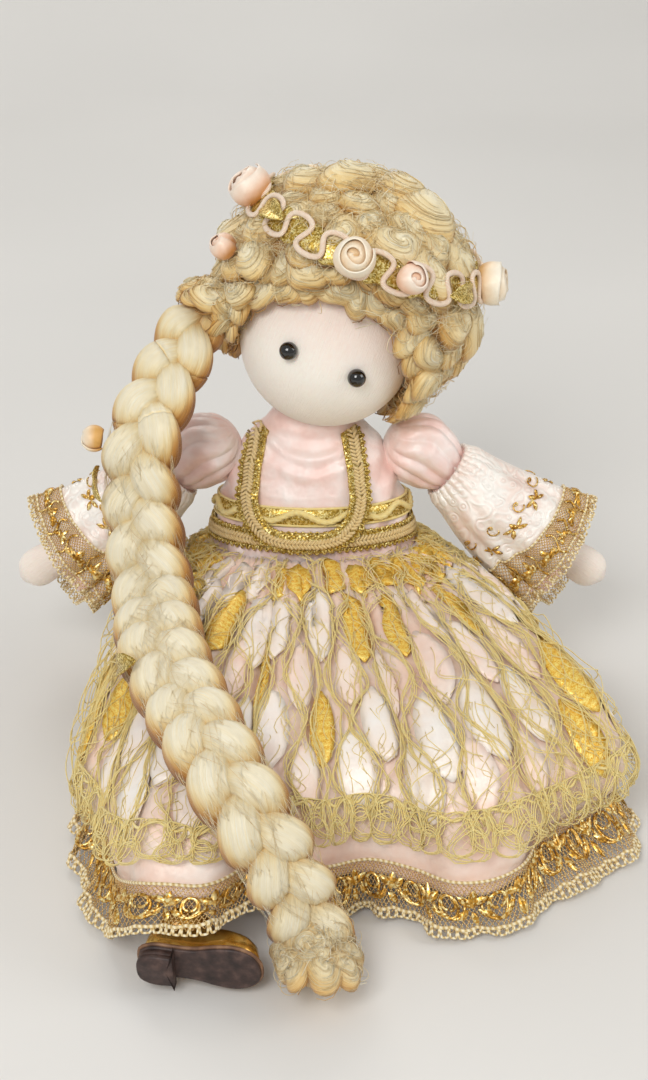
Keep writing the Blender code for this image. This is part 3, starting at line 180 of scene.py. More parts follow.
class Goods:
    """Grids of points gathered into one mesh, each with a tone and a flat place in centimetres."""

    def __init__(self):
        self.points, self.tones, self.quads, self.fans = [], [], [], []
        self.quad_flats, self.fan_flats, self.quad_slots, self.fan_slots = [], [], [], []
        self.count = 0

    def add(self, grids, tone=0.5, flats=None, loop=False, ring=False, caps=False, out=None, slot=0):
        """Add k grids of m by n points. loop joins the last row to the first, ring the last column.

        Faces are turned towards out, or away from the middle of each ring.
        """
        grids = np.asarray(grids, float)
        if grids.ndim == 3:
            grids = grids[None]
        k, m, n = grids.shape[:3]
        index = self.count + np.arange(k * m * n).reshape(k, m, n)
        rows = np.concatenate([index, index[:, :1]], axis=1) if loop else index
        rows = np.concatenate([rows, rows[:, :, :1]], axis=2) if ring else rows
        points = grids.reshape(-1, 3)
        corners = points[rows - self.count]
        if flats is None:
            along = np.linalg.norm(np.diff(corners, axis=1), axis=3).mean(axis=2)
            around = np.linalg.norm(np.diff(corners, axis=2), axis=3).mean(axis=1)
            shift = 3.17 * np.arange(k)[:, None]
            along = np.concatenate([0 * shift, np.cumsum(along, axis=1)], axis=1) * 100 + shift
            around = np.concatenate([0 * shift, np.cumsum(around, axis=1)], axis=1) * 100 + shift
            flats = np.stack(np.broadcast_arrays(along[:, :, None], around[:, None, :]), axis=-1)
        flats = np.broadcast_to(flats, rows.shape + (2,))
        around_faces = [(slice(None, -1), slice(None, -1)), (slice(None, -1), slice(1, None)),
                        (slice(1, None), slice(1, None)), (slice(1, None), slice(None, -1))]
        quads = np.stack([rows[:, a, b] for a, b in around_faces], axis=-1)
        quad_flats = np.stack([flats[:, a, b] for a, b in around_faces], axis=-2)
        spots = np.stack([corners[:, a, b] for a, b in around_faces], axis=-2)
        normal = np.cross(spots[..., 2, :] - spots[..., 0, :], spots[..., 3, :] - spots[..., 1, :])
        if out is None and ring:
            out = spots.mean(axis=-2) - corners[:, :-1, :-1].mean(axis=2, keepdims=True)
        elif np.ndim(out) > 1:
            out = np.broadcast_to(out, grids.shape)[:, :normal.shape[1], :normal.shape[2]]
        facing = np.ones(k) if out is None else (normal * out).sum(axis=(1, 2, 3))
        back = facing < 0
        quads[back] = quads[back][..., ::-1]
        quad_flats[back] = quad_flats[back][..., ::-1, :]
        self.points.append(points)
        self.tones.append(np.broadcast_to(tone, (k, m, n)).ravel())
        self.quads.append(quads.reshape(-1, 4))
        self.quad_flats.append(quad_flats.reshape(-1, 4, 2))
        self.quad_slots.append(np.full(quads.size // 4, slot))
        self.count += k * m * n
        if caps:
            for end in (0, m - 1):
                hubs = self.count + np.arange(k)
                self.points.append(grids[:, end].mean(axis=1))
                self.tones.append(np.broadcast_to(tone, (k, m, n))[:, end].mean(axis=1))
                self.count += k
                first, second = rows[:, end, :-1], rows[:, end, 1:]
                if end == 0:
                    first, second = second, first
                fans = np.stack([first, second, np.broadcast_to(hubs[:, None], first.shape)], axis=-1)
                fans[back] = fans[back][..., ::-1]
                self.fans.append(fans.reshape(-1, 3))
                edge = flats[:, end, :-1]
                self.fan_flats.append(np.repeat(edge.reshape(-1, 1, 2), 3, axis=1))
                self.fan_slots.append(np.full(fans.size // 3, slot))

    def make(self, name, *finishes, smooth=True):
        """Put the grids into one mesh object at the origin."""
        empty_three, empty_flat = np.zeros((0, 3), int), np.zeros((0, 3, 2))
        quads, fans = np.concatenate(self.quads), np.concatenate(self.fans + [empty_three])
        corners = np.concatenate([quads.ravel(), fans.ravel()])
        sizes = np.concatenate([np.full(len(quads), 4), np.full(len(fans), 3)])
        mesh = bpy.data.meshes.new(name)
        points = np.concatenate(self.points)
        mesh.vertices.add(len(points))
        mesh.vertices.foreach_set("co", points.ravel())
        mesh.loops.add(len(corners))
        mesh.loops.foreach_set("vertex_index", corners)
        mesh.polygons.add(len(sizes))
        mesh.polygons.foreach_set("loop_start", np.cumsum(sizes) - sizes)
        slots = np.concatenate(self.quad_slots + self.fan_slots).astype(int)
        mesh.polygons.foreach_set("material_index", slots)
        mesh.update(calc_edges=True)
        mesh.polygons.foreach_set("use_smooth", np.full(len(sizes), smooth))
        flats = np.concatenate([np.concatenate(self.quad_flats).reshape(-1, 2),
                                np.concatenate(self.fan_flats + [empty_flat]).reshape(-1, 2)])
        mesh.uv_layers.new(name="flat").data.foreach_set("uv", flats.ravel())
        mesh.attributes.new("tone", "FLOAT", "POINT").data.foreach_set("value", np.concatenate(self.tones))
        for finish in finishes:
            mesh.materials.append(finish)
        piece = bpy.data.objects.new(name, mesh)
        bpy.context.scene.collection.objects.link(piece)
        return piece


def thicken(piece, thickness, offset=0.0):
    """Give a sheet its cloth's thickness."""
    wall = piece.modifiers.new("cloth_thickness", "SOLIDIFY")
    wall.thickness = thickness
    wall.offset = offset
    return piece


def fit(piece, body, slot, *nodes):
    """Let a piece ride on a body and stand for CAD nodes, which are hidden. The slot is not used."""
    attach(piece, body)
    if nodes:
        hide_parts(*nodes)
    return piece


def piece_of(name, finish, body, slot, node, grids, tone=0.5, flats=None, **how):
    """One fitted piece from its grids alone."""
    goods = Goods()
    goods.add(grids, tone, flats, **how)
    return fit(goods.make(name, finish), body, slot, node)


# Finishes

def tint(code):
    """A colour from its six hexadecimal digits, as the shader wants it."""
    parts = [int(code[i:i + 2], 16) / 255 for i in (0, 2, 4)]
    return tuple(p / 12.92 if p <= 0.04045 else ((p + 0.055) / 1.055) ** 2.4 for p in parts) + (1.0,)


class Finish:
    """A material in the making."""

    def __init__(self, name, **constants):
        self.material = bpy.data.materials.new(name)
        self.material.use_nodes = True
        self.tree = self.material.node_tree
        self.shader = self.tree.nodes["Principled BSDF"]
        self.wire(**constants)

    def feed(self, socket, value):
        """Link a socket to another one, or set its number or colour."""
        if isinstance(value, bpy.types.NodeSocket):
            self.tree.links.new(value, socket)
        else:
            socket.default_value = value

    def wire(self, **values):
        """Set or link the shader's sockets, named with underscores."""
        for name, value in values.items():
            self.feed(self.shader.inputs[name.replace("_", " ")], value)

    def node(self, kind, inputs=(), **settings):
        """A new node with its inputs by name or number."""
        node = self.tree.nodes.new("ShaderNode" + kind)
        for name, value in settings.items():
            setattr(node, name, value)
        for key, value in dict(inputs).items():
            self.feed(node.inputs[key], value)
        return node

    def step(self, operation, a, b=0.0):
        """One arithmetic step."""
        return self.node("Math", {0: a, 1: b}, operation=operation).outputs[0]

    def weigh(self, *parts):
        """The sum of weight (value - middle) over parts of value, weight and, where one is given, middle."""
        total = None
        for value, weight, *middle in parts:
            if middle:
                value = self.step("SUBTRACT", value, middle[0])
            if weight != 1:
                value = self.step("MULTIPLY", value, weight)
            total = value if total is None else self.step("ADD", total, value)
        return total

    def ribs(self, place, pace):
        """A wave from 0 to 1: half of 1 + sin(pace place)."""
        wave = self.step("SINE", self.step("MULTIPLY", place, pace))
        return self.step("ADD", self.step("MULTIPLY", wave, 0.5), 0.5)

    def flat(self, along=1.0, around=1.0):
        """The piece's flat place in centimetres, stretched."""
        place = self.node("UVMap", uv_map="flat").outputs[0]
        return self.node("Mapping", {"Vector": place, "Scale": (along, around, 1.0)}).outputs[0]

    def solid(self, scale=1.0):
        """The object's own place in metres, scaled."""
        place = self.node("TexCoord").outputs["Object"]
        return self.node("Mapping", {"Vector": place, "Scale": (scale, scale, scale)}).outputs[0]

    def tone(self):
        """The tone that the mesh carries."""
        return self.node("Attribute", attribute_name="tone").outputs["Fac"]

    def noise(self, place, scale, detail=2.0, rough=0.5):
        """Cloudy variation from 0 to 1."""
        inputs = {"Vector": place, "Scale": scale, "Detail": detail, "Roughness": rough}
        return self.node("TexNoise", inputs).outputs[0]

    def cells(self, place, scale, feature="F1", output="Distance"):
        """Voronoi cells."""
        return self.node("TexVoronoi", {"Vector": place, "Scale": scale}, feature=feature).outputs[output]

    def ramp(self, value, *stops):
        """Colours by value, each stop a place and a colour code."""
        node = self.node("ValToRGB", {0: value})
        ladder = node.color_ramp.elements
        for _ in stops[2:]:
            ladder.new(0.5)
        for rung, (place, code) in zip(ladder, stops):
            rung.position = place
            rung.color = tint(code)
        return node.outputs[0]

    def bump(self, height, depth, strength=1.0):
        """Let a height from 0 to 1 raise the surface by depth in metres."""
        normal = self.node("Bump", {"Height": height, "Distance": depth, "Strength": strength}).outputs[0]
        self.wire(Normal=normal)

    def flat_parts(self):
        """Centimetres along and around the flat place."""
        return self.node("SeparateXYZ", {0: self.node("UVMap", uv_map="flat").outputs[0]}).outputs


def hair_finish(name, dark, deep, middle, light, pale, lines=24.0):
    """Silky fibres: fine lines along each lock, brown where the tone is low, cream where it is high."""
    hair = Finish(name, Roughness=0.36, Specular_IOR_Level=0.55, Sheen_Weight=0.25, Sheen_Roughness=0.4)
    fibre = hair.noise(hair.flat(0.55, lines), 2.2, 4.0, 0.66)
    broad = hair.noise(hair.flat(0.5, 3.0), 1.6, 2.0)
    value = hair.weigh((hair.tone(), 1), (fibre, 0.62, 0.5), (broad, 0.20, 0.5))
    colour = hair.ramp(value, (0.0, dark), (0.25, deep), (0.5, middle), (0.74, light), (1.0, pale))
    hair.wire(Base_Color=colour)
    hair.bump(fibre, 0.0006, 0.8)
    return hair.material


def satin_finish(name, shade, body, light, roughness=0.36):
    """Satin weave: a smooth shine with soft cloudy folds, painted shade and painted sheen highlights mixed
    into the colour by a cloud, and a fine thread line.
    """
    satin = Finish(name, Roughness=roughness, Metallic=0.12, Specular_IOR_Level=0.7, Sheen_Weight=0.4,
                   Sheen_Roughness=0.4, Coat_Weight=0.15, Coat_Roughness=0.4)
    # The cloud and the tone mix the shade, body and light colours: painted shade for the folds and painted
    # highlights for the sheen.
    cloud = satin.noise(satin.solid(75.0), 1.0, 3.0, 0.6)
    value = satin.weigh((satin.tone(), 1), (cloud, 1, 0.5))
    satin.wire(Base_Color=satin.ramp(value, (0.12, shade), (0.5, body), (0.82, light)))
    thread = satin.noise(satin.flat(4.0, 60.0), 3.0, 2.0)
    folds = satin.noise(satin.solid(150.0), 1.0, 2.0)
    satin.bump(satin.weigh((thread, 0.09), (folds, 1)), 0.0016, 0.55)
    return satin.material


def glitter_finish(name, dark, body, painted_glint, scale=900.0, metallic=0.75):
    """Metallic thread: flat flakes of many brightnesses, each turned its own way, their colours running from
    dark to near-white painted glints.
    """
    gilt = Finish(name, Roughness=0.34, Metallic=metallic)
    place = gilt.solid()
    flake = gilt.cells(place, scale, output="Color")
    # Each flake's brightness in the colour is a painted glint.
    level = gilt.node("SeparateXYZ", {0: flake}).outputs[0]
    patch = gilt.noise(place, 260.0, 2.0)
    value = gilt.weigh((level, 0.7), (patch, 0.5))
    gilt.wire(Base_Color=gilt.ramp(value, (0.2, dark), (0.55, body), (0.95, painted_glint)))
    gilt.bump(level, 0.0007, 1.0)
    return gilt.material


def thread_finish(name, dark, body, light, twist=9.0, roughness=0.6, metallic=0.0):
    """Wound or plied thread: slanting plies along the cord."""
    thread = Finish(name, Roughness=roughness, Metallic=metallic, Sheen_Weight=0.2)
    along, around, _ = thread.flat_parts()
    ply = thread.ribs(thread.weigh((along, twist), (around, 1)), TURN)
    fuzz = thread.noise(thread.solid(), 900.0, 2.0)
    value = thread.weigh((ply, 0.55), (fuzz, 0.45))
    thread.wire(Base_Color=thread.ramp(value, (0.2, dark), (0.5, body), (0.8, light)))
    thread.bump(ply, 0.0002, 0.7)
    return thread.material


def knit_finish(name, cool, warm):
    """Brushed stockinette: fine uneven wales running up the piece under a short nap."""
    knit = Finish(name, Roughness=0.82, Sheen_Weight=0.35, Sheen_Roughness=0.5, Subsurface_Weight=0.05,
                  Subsurface_Scale=0.002)
    wale = knit.noise(knit.flat(1.4, 17.0), 1.6, 3.0)
    fuzz = knit.noise(knit.solid(), 900.0, 3.0)
    relief = knit.weigh((wale, 0.9), (fuzz, 0.35))
    value = knit.weigh((knit.tone(), 1), (relief, 0.55, 0.62))
    knit.wire(Base_Color=knit.ramp(value, (0.1, cool), (0.9, warm)))
    knit.bump(relief, 0.00035, 0.7)
    return knit.material


def pearl_finish(name):
    """Pearly jacquard: pale cloth with a raised scrolling ground."""
    pearl = Finish(name, Roughness=0.33, Metallic=0.15, Specular_IOR_Level=0.8, Sheen_Weight=0.4,
                   Sheen_Roughness=0.3)
    cell = pearl.cells(pearl.flat(), 2.6, "SMOOTH_F1")
    vein = pearl.ribs(cell, 22.0)
    cloud = pearl.noise(pearl.solid(70.0), 1.0, 2.0)
    value = pearl.weigh((cloud, 0.85), (vein, 0.13))
    pearl.wire(Base_Color=pearl.ramp(value, (0.20, "eed0c2"), (0.40, "f9e8dd"), (0.60, "fffaf2")))
    weave = pearl.noise(pearl.flat(50.0, 50.0), 1.2, 1.0)
    folds = pearl.noise(pearl.solid(120.0), 1.0, 2.0)
    pearl.bump(pearl.weigh((weave, 0.12), (vein, 0.22), (folds, 1)), 0.0012, 0.6)
    return pearl.material


def ribbed_finish(name, dark, body, light, metallic=0.6):
    """Gold woven leaf: small round cells and ribs in a metallic thread."""
    ribbed = Finish(name, Roughness=0.36, Metallic=metallic)
    comb = ribbed.cells(ribbed.flat(), 24.0)
    rib = ribbed.ribs(ribbed.flat_parts()[0], 4.0 * TURN)
    # Fine noise of painted glints mixed into the gold colour.
    painted_glint = ribbed.noise(ribbed.solid(), 1300.0, 1.0)
    value = ribbed.weigh((comb, 0.7), (painted_glint, 0.5), (rib, 0.18))
    ribbed.wire(Base_Color=ribbed.ramp(value, (0.25, dark), (0.55, body), (0.95, light)))
    ribbed.bump(value, 0.00015, 0.6)
    return ribbed.material


def shell_finish(name, dark, body, light, roughness, scale=300.0, **constants):
    """A smooth hard or dipped surface with slow colour change and small scuffs."""
    coat = Finish(name, Roughness=roughness, **constants)
    cloud = coat.noise(coat.solid(), scale, 4.0)
    coat.wire(Base_Color=coat.ramp(cloud, (0.3, dark), (0.5, body), (0.7, light)))
    coat.bump(coat.noise(coat.solid(), scale * 4, 3.0), 0.0002, 0.35)
    return coat.material


HAIR = hair_finish("plait_hair", "905618", "c88d3e", "ecc986", "fae8ba", "fff9e4")
CURLS = hair_finish("curled_hair", "98601e", "cf9a48", "efd08e", "faeabe", "fff9e2", 13.0)
KNIT = knit_finish("doll_knit", "e9d3c2", "fbf1e6")
FACE_KNIT = knit_finish("face_knit", "f6dccf", "fffaf0")
PINK_SATIN = satin_finish("pink_satin", "e6b2a6", "fbd9cf", "fff4ef")
PALE_SATIN = satin_finish("pale_satin", "f6ccb8", "ffe6d8", "fff8f1")
WHITE_SATIN = satin_finish("white_satin", "f8ddca", "fff3e8", "fffcf7")
OVAL_SATIN = satin_finish("oval_satin", "f6cdb8", "ffe6d8", "fff6ec")
PEARL_CLOTH = pearl_finish("pearl_cloth")
GILT = glitter_finish("gilt_glitter", "86681c", "cca740", "fff2ac", 2300.0, 0.6)
OLIVE = glitter_finish("olive_glitter", "7a6018", "c6a23e", "fff0aa", 2600.0, 0.5)
GIMP_CORD = thread_finish("gimp_cord", "d4ac5c", "f0d090", "fdedbc", 26.0)
SOUTACHE = thread_finish("soutache_cord", "edbf9c", "fde6cc", "fff6e4", 26.0)
YELLOW_CORD = thread_finish("yellow_cord", "fdd568", "ffe893", "fff8c6", 26.0)
CREAM_FRILL = thread_finish("cream_frill", "f8d878", "feecb0", "fff9d8", 22.0, 0.7)
CREAM_CORD = thread_finish("cream_cord", "c8a869", "ecd6a0", "fbf0d0", 6.0)
PALE_BRONZE = thread_finish("pale_bronze_thread", "c48c3c", "ecc070", "fce6a8", 12.0, 0.5, 0.2)
BRIGHT_GOLD = glitter_finish("bright_gold_thread", "8a5a16", "d9a23c", "fff0b0", 1500.0, 0.7)
GOLD_LEAF = ribbed_finish("gold_leaf_weave", "c88a18", "f2be3c", "ffe987", 0.3)
VINYL = shell_finish("gold_vinyl", "9c6a1e", "c9963a", "ecc66a", 0.2, 120.0, Metallic=0.75, Coat_Weight=0.6,
                     Coat_Roughness=0.1)
LEATHER = shell_finish("sole_leather", "2a1c19", "43302b", "5f4840", 0.5)
WELT = shell_finish("welt_leather", "5a3d2c", "7d5a41", "9b7657", 0.55)
BEAD = shell_finish("black_bead", "020202", "060606", "0a0a0a", 0.07, Coat_Weight=0.8)
PEACH_RIBBON = satin_finish("peach_ribbon", "d8934a", "f6ccae", "ffeedc", 0.4)
CREAM_RIBBON = satin_finish("cream_ribbon", "dfa958", "f9dfbc", "fff6e2", 0.4)


# Camera, floor and light

def make_studio():
    """Camera at the photograph's angle, a pale floor with a curved back, and soft lamps."""
    camera = bpy.data.objects.new("camera", bpy.data.cameras.new("camera"))
    camera.data.sensor_fit = "VERTICAL"
    camera.data.sensor_height = 24.0
    camera.data.lens = 40.0
    camera.data.clip_start = 0.01
    camera.location = (0.004, -0.5281, 0.3655)
    camera.rotation_euler = (math.radians(60.0), 0.0, 0.0)
    bpy.context.scene.collection.objects.link(camera)
    bpy.context.scene.camera = camera
    profile = [(-1.2, 0.0), (0.55, 0.0), (0.75, 0.015), (0.9, 0.06), (1.02, 0.15), (1.1, 0.3), (1.12, 1.6)]
    line = smooth_curve(profile, 60)
    x = np.linspace(-1.6, 1.6, 9)
    grid = np.stack(np.broadcast_arrays(x[None, :], line[:, :1], line[:, 1:] - 0.0002), axis=-1)
    floor = Goods()
    floor.add(grid, out=(0.0, -0.3, 1.0))
    paper = Finish("floor_paper", Roughness=0.9)
    cloud = paper.noise(paper.solid(3.0), 1.0, 2.0)
    plain = paper.ramp(cloud, (0.3, "dcdad6"), (0.7, "e4e2de"))
    paper.wire(Base_Color=plain)
    floor.make("floor", paper.material)
    world = bpy.data.worlds.new("studio_air")
    world.use_nodes = True
    world.node_tree.nodes["Background"].inputs[0].default_value = (1.0, 0.99, 0.97, 1.0)
    world.node_tree.nodes["Background"].inputs[1].default_value = 0.50
    bpy.context.scene.world = world
    lamps = (("front_lamp", (-0.35, -0.95, 1.0), 0.55, 8.4), ("side_lamp", (0.95, -0.2, 0.7), 0.5, 2.6),
             ("back_lamp", (-0.3, 0.75, 0.95), 0.5, 2.6))
    for name, place, size, power in lamps:
        lamp = bpy.data.objects.new(name, bpy.data.lights.new(name, "AREA"))
        lamp.data.size = size
        lamp.data.energy = power
        lamp.location = place
        aim = np.array([0.0, -0.03, 0.06]) - np.array(place)
        yaw = math.atan2(aim[0], -aim[1])
        lamp.rotation_euler = (math.atan2(math.hypot(aim[0], aim[1]), -aim[2]), 0.0, yaw - math.pi)
        bpy.context.scene.collection.objects.link(lamp)


make_studio()
bpy.context.scene.view_settings.view_transform = "Standard"


# Body of the doll: the same places as its solids

SPINE_SLOPE = math.tan(math.radians(12.0))
TORSO_HEIGHT, HALF_WIDTH, FRONT_DEPTH, BACK_DEPTH = 0.098, 0.035, 0.0205, 0.022
HIP_ASIDE = 0.017
TORSO_TABLE = np.array([
    (0.00, 0.78, 0.10, 0.66), (0.04, 0.92, 0.16, 0.84), (0.14, 0.99, 0.22, 0.94),
    (0.235, 1.00, 0.28, 0.97), (0.30, 1.00, 0.80, 0.99), (0.41, 0.99, 1.00, 1.00),
    (0.57, 0.94, 1.00, 0.93), (0.69, 0.88, 0.98, 0.88), (0.79, 0.80, 0.90, 0.80),
    (0.88, 0.70, 0.78, 0.70), (0.95, 0.50, 0.60, 0.58), (1.00, 0.27, 0.46, 0.43),
])


def spine(height):
    """The body's middle line at a height above the seat."""
    return np.array([0.0, SPINE_SLOPE * height, height])


def torso_points(share, angle):
    """Oval sections of the body: half width cos(angle) across, front or back depth sin(angle)."""
    share = np.asarray(share, float) + 0 * angle
    width, front, back = [np.interp(share, TORSO_TABLE[:, 0], column) for column in TORSO_TABLE.T[1:]]
    centre_y = SPINE_SLOPE * share * TORSO_HEIGHT
    at_hip = np.sqrt(1 - np.clip(HIP_ASIDE / (width * HALF_WIDTH), 0, 0.6) ** 2)
    front = np.where(share < 0.25, (centre_y + 0.0022) / at_hip, front * FRONT_DEPTH)
    depth = np.where(np.sin(angle) < 0, front, back * BACK_DEPTH)
    across = width * HALF_WIDTH * np.cos(angle)
    return np.stack([across, centre_y + depth * np.sin(angle), share * TORSO_HEIGHT], axis=-1)


def belt_grid(heights, around):
    """Rings round the body square to the leaning spine."""
    angle = round_the_ring(around)[None, :]
    level = np.array(heights)[:, None] / TORSO_HEIGHT + 0 * angle
    share = level
    for _ in range(3):
        forward = torso_points(share, angle)[..., 1] / TORSO_HEIGHT
        share = level - SPINE_SLOPE * (forward - SPINE_SLOPE * level)
    return torso_points(share, angle)


SHOULDER_HEIGHT = 0.086
SHOULDERS = [np.array([aside, spine(SHOULDER_HEIGHT)[1], SHOULDER_HEIGHT]) for aside in (-0.036, 0.036)]


def dished(grid, radius):
    """A surface that keeps a radius away from each shoulder, so that the sleeve heads turn freely."""
    for centre in SHOULDERS:
        gap = np.linalg.norm(grid - centre, axis=-1, keepdims=True)
        grid = np.where(gap < radius, centre + (grid - centre) / gap * radius, grid)
    return grid


def make_body():
    """Stuffed torso and neck in knit."""
    grid = torso_points(np.linspace(0, 1, 50)[:, None], round_the_ring(72)[None, :])
    torso = piece_of("stuffed_body", KNIT, "torso", "knit", "torso", dished(grid, 0.0136), 0.45,
                     ring=True, caps=True)
    dome = np.radians([20, 40, 60, 75])
    heights = np.concatenate([np.linspace(0.0003, NECK_LENGTH, 5), NECK_LENGTH + NECK_RADIUS * np.sin(dome)])
    radii = np.concatenate([np.full(5, NECK_RADIUS), NECK_RADIUS * np.cos(dome)])
    path = NECK_FOOT + heights[:, None] * np.array([0.0, 0.0, 1.0])
    stalk = tubes(path, (0.0, -1.0, 0.0), radii, sides=32)
    piece_of("stuffed_neck", KNIT, "neck", "knit", "neck", stalk, 0.35, ring=True, caps=True)


NECK_RADIUS, NECK_LENGTH = 0.0085, 0.005
NECK_FOOT = spine(TORSO_HEIGHT) + np.array([-0.003, 0.0, 0.0])
HEAD_CENTRE = NECK_FOOT + np.array([0.0083, -0.0008, NECK_LENGTH + 0.023])
HEAD_TURN = turned(math.radians(-6), "Z") @ turned(math.radians(21), "Y") @ turned(math.radians(-8), "X")
HEAD_RADIUS, SKULL_HEIGHT, WIG_RADIUS, WIG_RISE = 0.029, 0.040, 0.0415, 0.0175
CIRCLET_LEVEL = 0.036
EYE_RADIUS, EYE_LONGITUDE, EYE_LATITUDE = 0.003, math.radians(22.4), math.radians(-1.0)


def on_head(local):
    """World place of points given in the head's own frame, x left, y back, z up."""
    return HEAD_CENTRE + np.asarray(local) @ HEAD_TURN.T


def direction(longitude, latitude):
    """Unit vector in the head's frame; longitude 0 looks out of the face."""
    return np.stack([np.sin(longitude) * np.cos(latitude), -np.cos(longitude) * np.cos(latitude),
                     np.sin(latitude) + 0 * longitude], axis=-1)


def head_radius(way):
    """Distance from the head's centre to its skin: a ball below, a taller skull above."""
    up = way[..., 2]
    tall = 1 / np.sqrt((1 - up ** 2) / HEAD_RADIUS ** 2 + up ** 2 / SKULL_HEIGHT ** 2)
    return np.where(up > 0, tall, HEAD_RADIUS)


def off_face(longitude):
    """Longitude from minus half a turn to half a turn, 0 at the middle of the face."""
    return (longitude + math.pi) % TURN - math.pi


def rim_latitude(longitude):
    """Latitude of the wig's edge: high over the brow, low at the ears and nape."""
    turn = off_face(longitude)
    front = ramp(np.abs(turn), math.radians(38), math.radians(86))
    back = ramp(np.abs(turn), math.radians(86), math.radians(150))
    brow = math.radians(13) * np.exp(-(turn - 0.12) ** 2 / 0.30)
    return math.radians(36) + brow - math.radians(52) * front - math.radians(8) * back


def cap_radius(way):
    """Distance from the head's centre to the round of the wig."""
    up = way[..., 2]
    cap = WIG_RISE * up + np.sqrt(WIG_RADIUS ** 2 - WIG_RISE ** 2 * (1 - up ** 2))
    return np.maximum(cap - 0.0042 * ramp(up, 0.70, 1.0), head_radius(way) + 0.007)


def make_head():
    """Knitted ball of a head with two bead eyes."""
    latitude = np.radians(np.linspace(-88, 88, 70))[:, None]
    longitude = round_the_ring(110)[None, :]
    way = direction(longitude + 0 * latitude, latitude + 0 * longitude)
    tone = 0.90 - 0.50 * ramp(way[..., 2], -0.35, 0.55)
    flats = np.stack(np.broadcast_arrays(latitude * 2.9, np.linspace(0, TURN, 111)[None, :] * 2.9), axis=-1)
    points = on_head(way * head_radius(way)[..., None])
    ball = piece_of("knitted_head", FACE_KNIT, "head", "knit", "head", points, tone, flats,
                    ring=True, caps=True)
    polar = np.radians(np.linspace(114, 2, 18))[:, None, None]
    for side, sign in (("right", -1), ("left", 1)):
        look = direction(np.array(sign * EYE_LONGITUDE), np.array(EYE_LATITUDE))
        axis = HEAD_TURN @ look
        across = unit(np.cross(axis, [0, 0, 1]))
        ring = swung(1.0, round_the_ring(28), across, np.cross(across, axis))
        base = on_head(look * (HEAD_RADIUS + 0.0003)) + axis * 0.0012
        points = base + EYE_RADIUS * (np.cos(polar) * axis + np.sin(polar) * ring)
        piece_of("bead_eye_" + side, BEAD, "head", "bead", "eye_" + side, points, ring=True, caps=True)


# Hair

CURL_FIBRES, FIBRE_POINTS = 24, 9


def loose_coils(centre, outward, axis, turns, coil, thick, steps, start, pitch):
    """Thin locks coiled round an axis.

    A point is centre + coil (cos(turn) outward + sin(turn) across) + pitch turn axis, and the coil
    narrows to 0.55 of its radius at the end of the lock.
    """
    across = np.cross(outward, axis)
    t = share_row(steps)
    angle = start[:, None] + turns[:, None] * TURN * t
    reach = coil[:, None] * (1 - 0.45 * t)
    path = centre[:, None] + swung(reach, angle, outward[:, None], across[:, None]) \
        + (pitch[:, None] * (t - 0.5) * turns[:, None])[..., None] * axis[:, None]
    return tubes(path, axis[:, None] + 0 * path, thick * (0.3 + 0.7 * np.sin(math.pi * t)), sides=3)


def snail_curls(places, size, rise, start, sense, stretch):
    """Curls wound like snail shells.

    places are middle, two directions across and one outwards. A curl is the dome
    rise sqrt(1 - r r) over a disc of radius size, with a spiral groove where
    cos(1.3 turns r - sense angle) is high, and its 24 fibres follow the spiral.
    """
    middle, across, along, outward = [field[:, None, None] for field in places]
    size, rise, start, sense, stretch = [v[:, None, None] for v in (size, rise, start, sense, stretch)]

    def spot(r, angle, lift=0.0):
        """Points of the curls at shares of their radius and angles, and their tone: a painted highlight over
        the dome's top and painted shade in the groove and towards the rim.
        """
        groove = 0.5 + 0.5 * np.cos(TURN * 1.3 * r - sense * angle + start)
        dome = np.sqrt(np.clip(1 - (0.97 * r) ** 2, 0, 1))
        height = rise * (dome - 0.05 * groove ** 2 * (1 - 0.5 * r)) + lift
        reach = size * r * (1 + 0.12 * np.cos(2 * angle + 3 * start) + 0.09 * np.cos(3 * angle + 2 * start))
        flat = swung(reach * stretch, angle, across, along, reach)
        # Painted light in the tone: lighter where the dome is high, darker in the groove and at the rim.
        return middle + flat + height[..., None] * outward, 0.16 + 0.64 * dome - 0.07 * groove ** 2

    r = np.linspace(0.05, 1.0, 12)[None, :, None]
    angle = round_the_ring(28)[None, None, :]
    points, tone = spot(r, angle)
    turn = np.linspace(0, TURN, 29)[None, None, :]
    down = (r - sense * turn / TURN / 1.3) * size * 100 + start
    flats = np.stack(np.broadcast_arrays(turn * size * 50, down), axis=-1)

    count = (len(size), CURL_FIBRES, 1)
    t = np.linspace(0, 1, FIBRE_POINTS)[None, None, :]
    swing = draw(1.2, 3.4, count)
    turn = draw(0, TURN, count) + swing * (t - 0.5)
    reach = np.clip(draw(0.22, 1.0, count) + sense * swing * (t - 0.5) / TURN / 1.3, 0.06, 1.06)
    paths, shade = spot(reach, turn, 0.00008 + draw(0, 0.0006, count) * np.sin(math.pi * t))
    return points, tone, flats, paths, shade


def curl_spots(count, margin):
    """Even places over the wig as longitude and latitude, kept a margin above its edge.

    Place k of n is k golden angles round, at the height 1 - 1.42 k / n of a unit ball.
    """
    index = np.arange(count) + 0.5
    longitude = (index * math.pi * (3 - math.sqrt(5)) + 0.4) % TURN
    latitude = np.arcsin(1 - 1.42 * index / count)
    keep = latitude > rim_latitude(longitude) + margin
    return longitude[keep], latitude[keep]


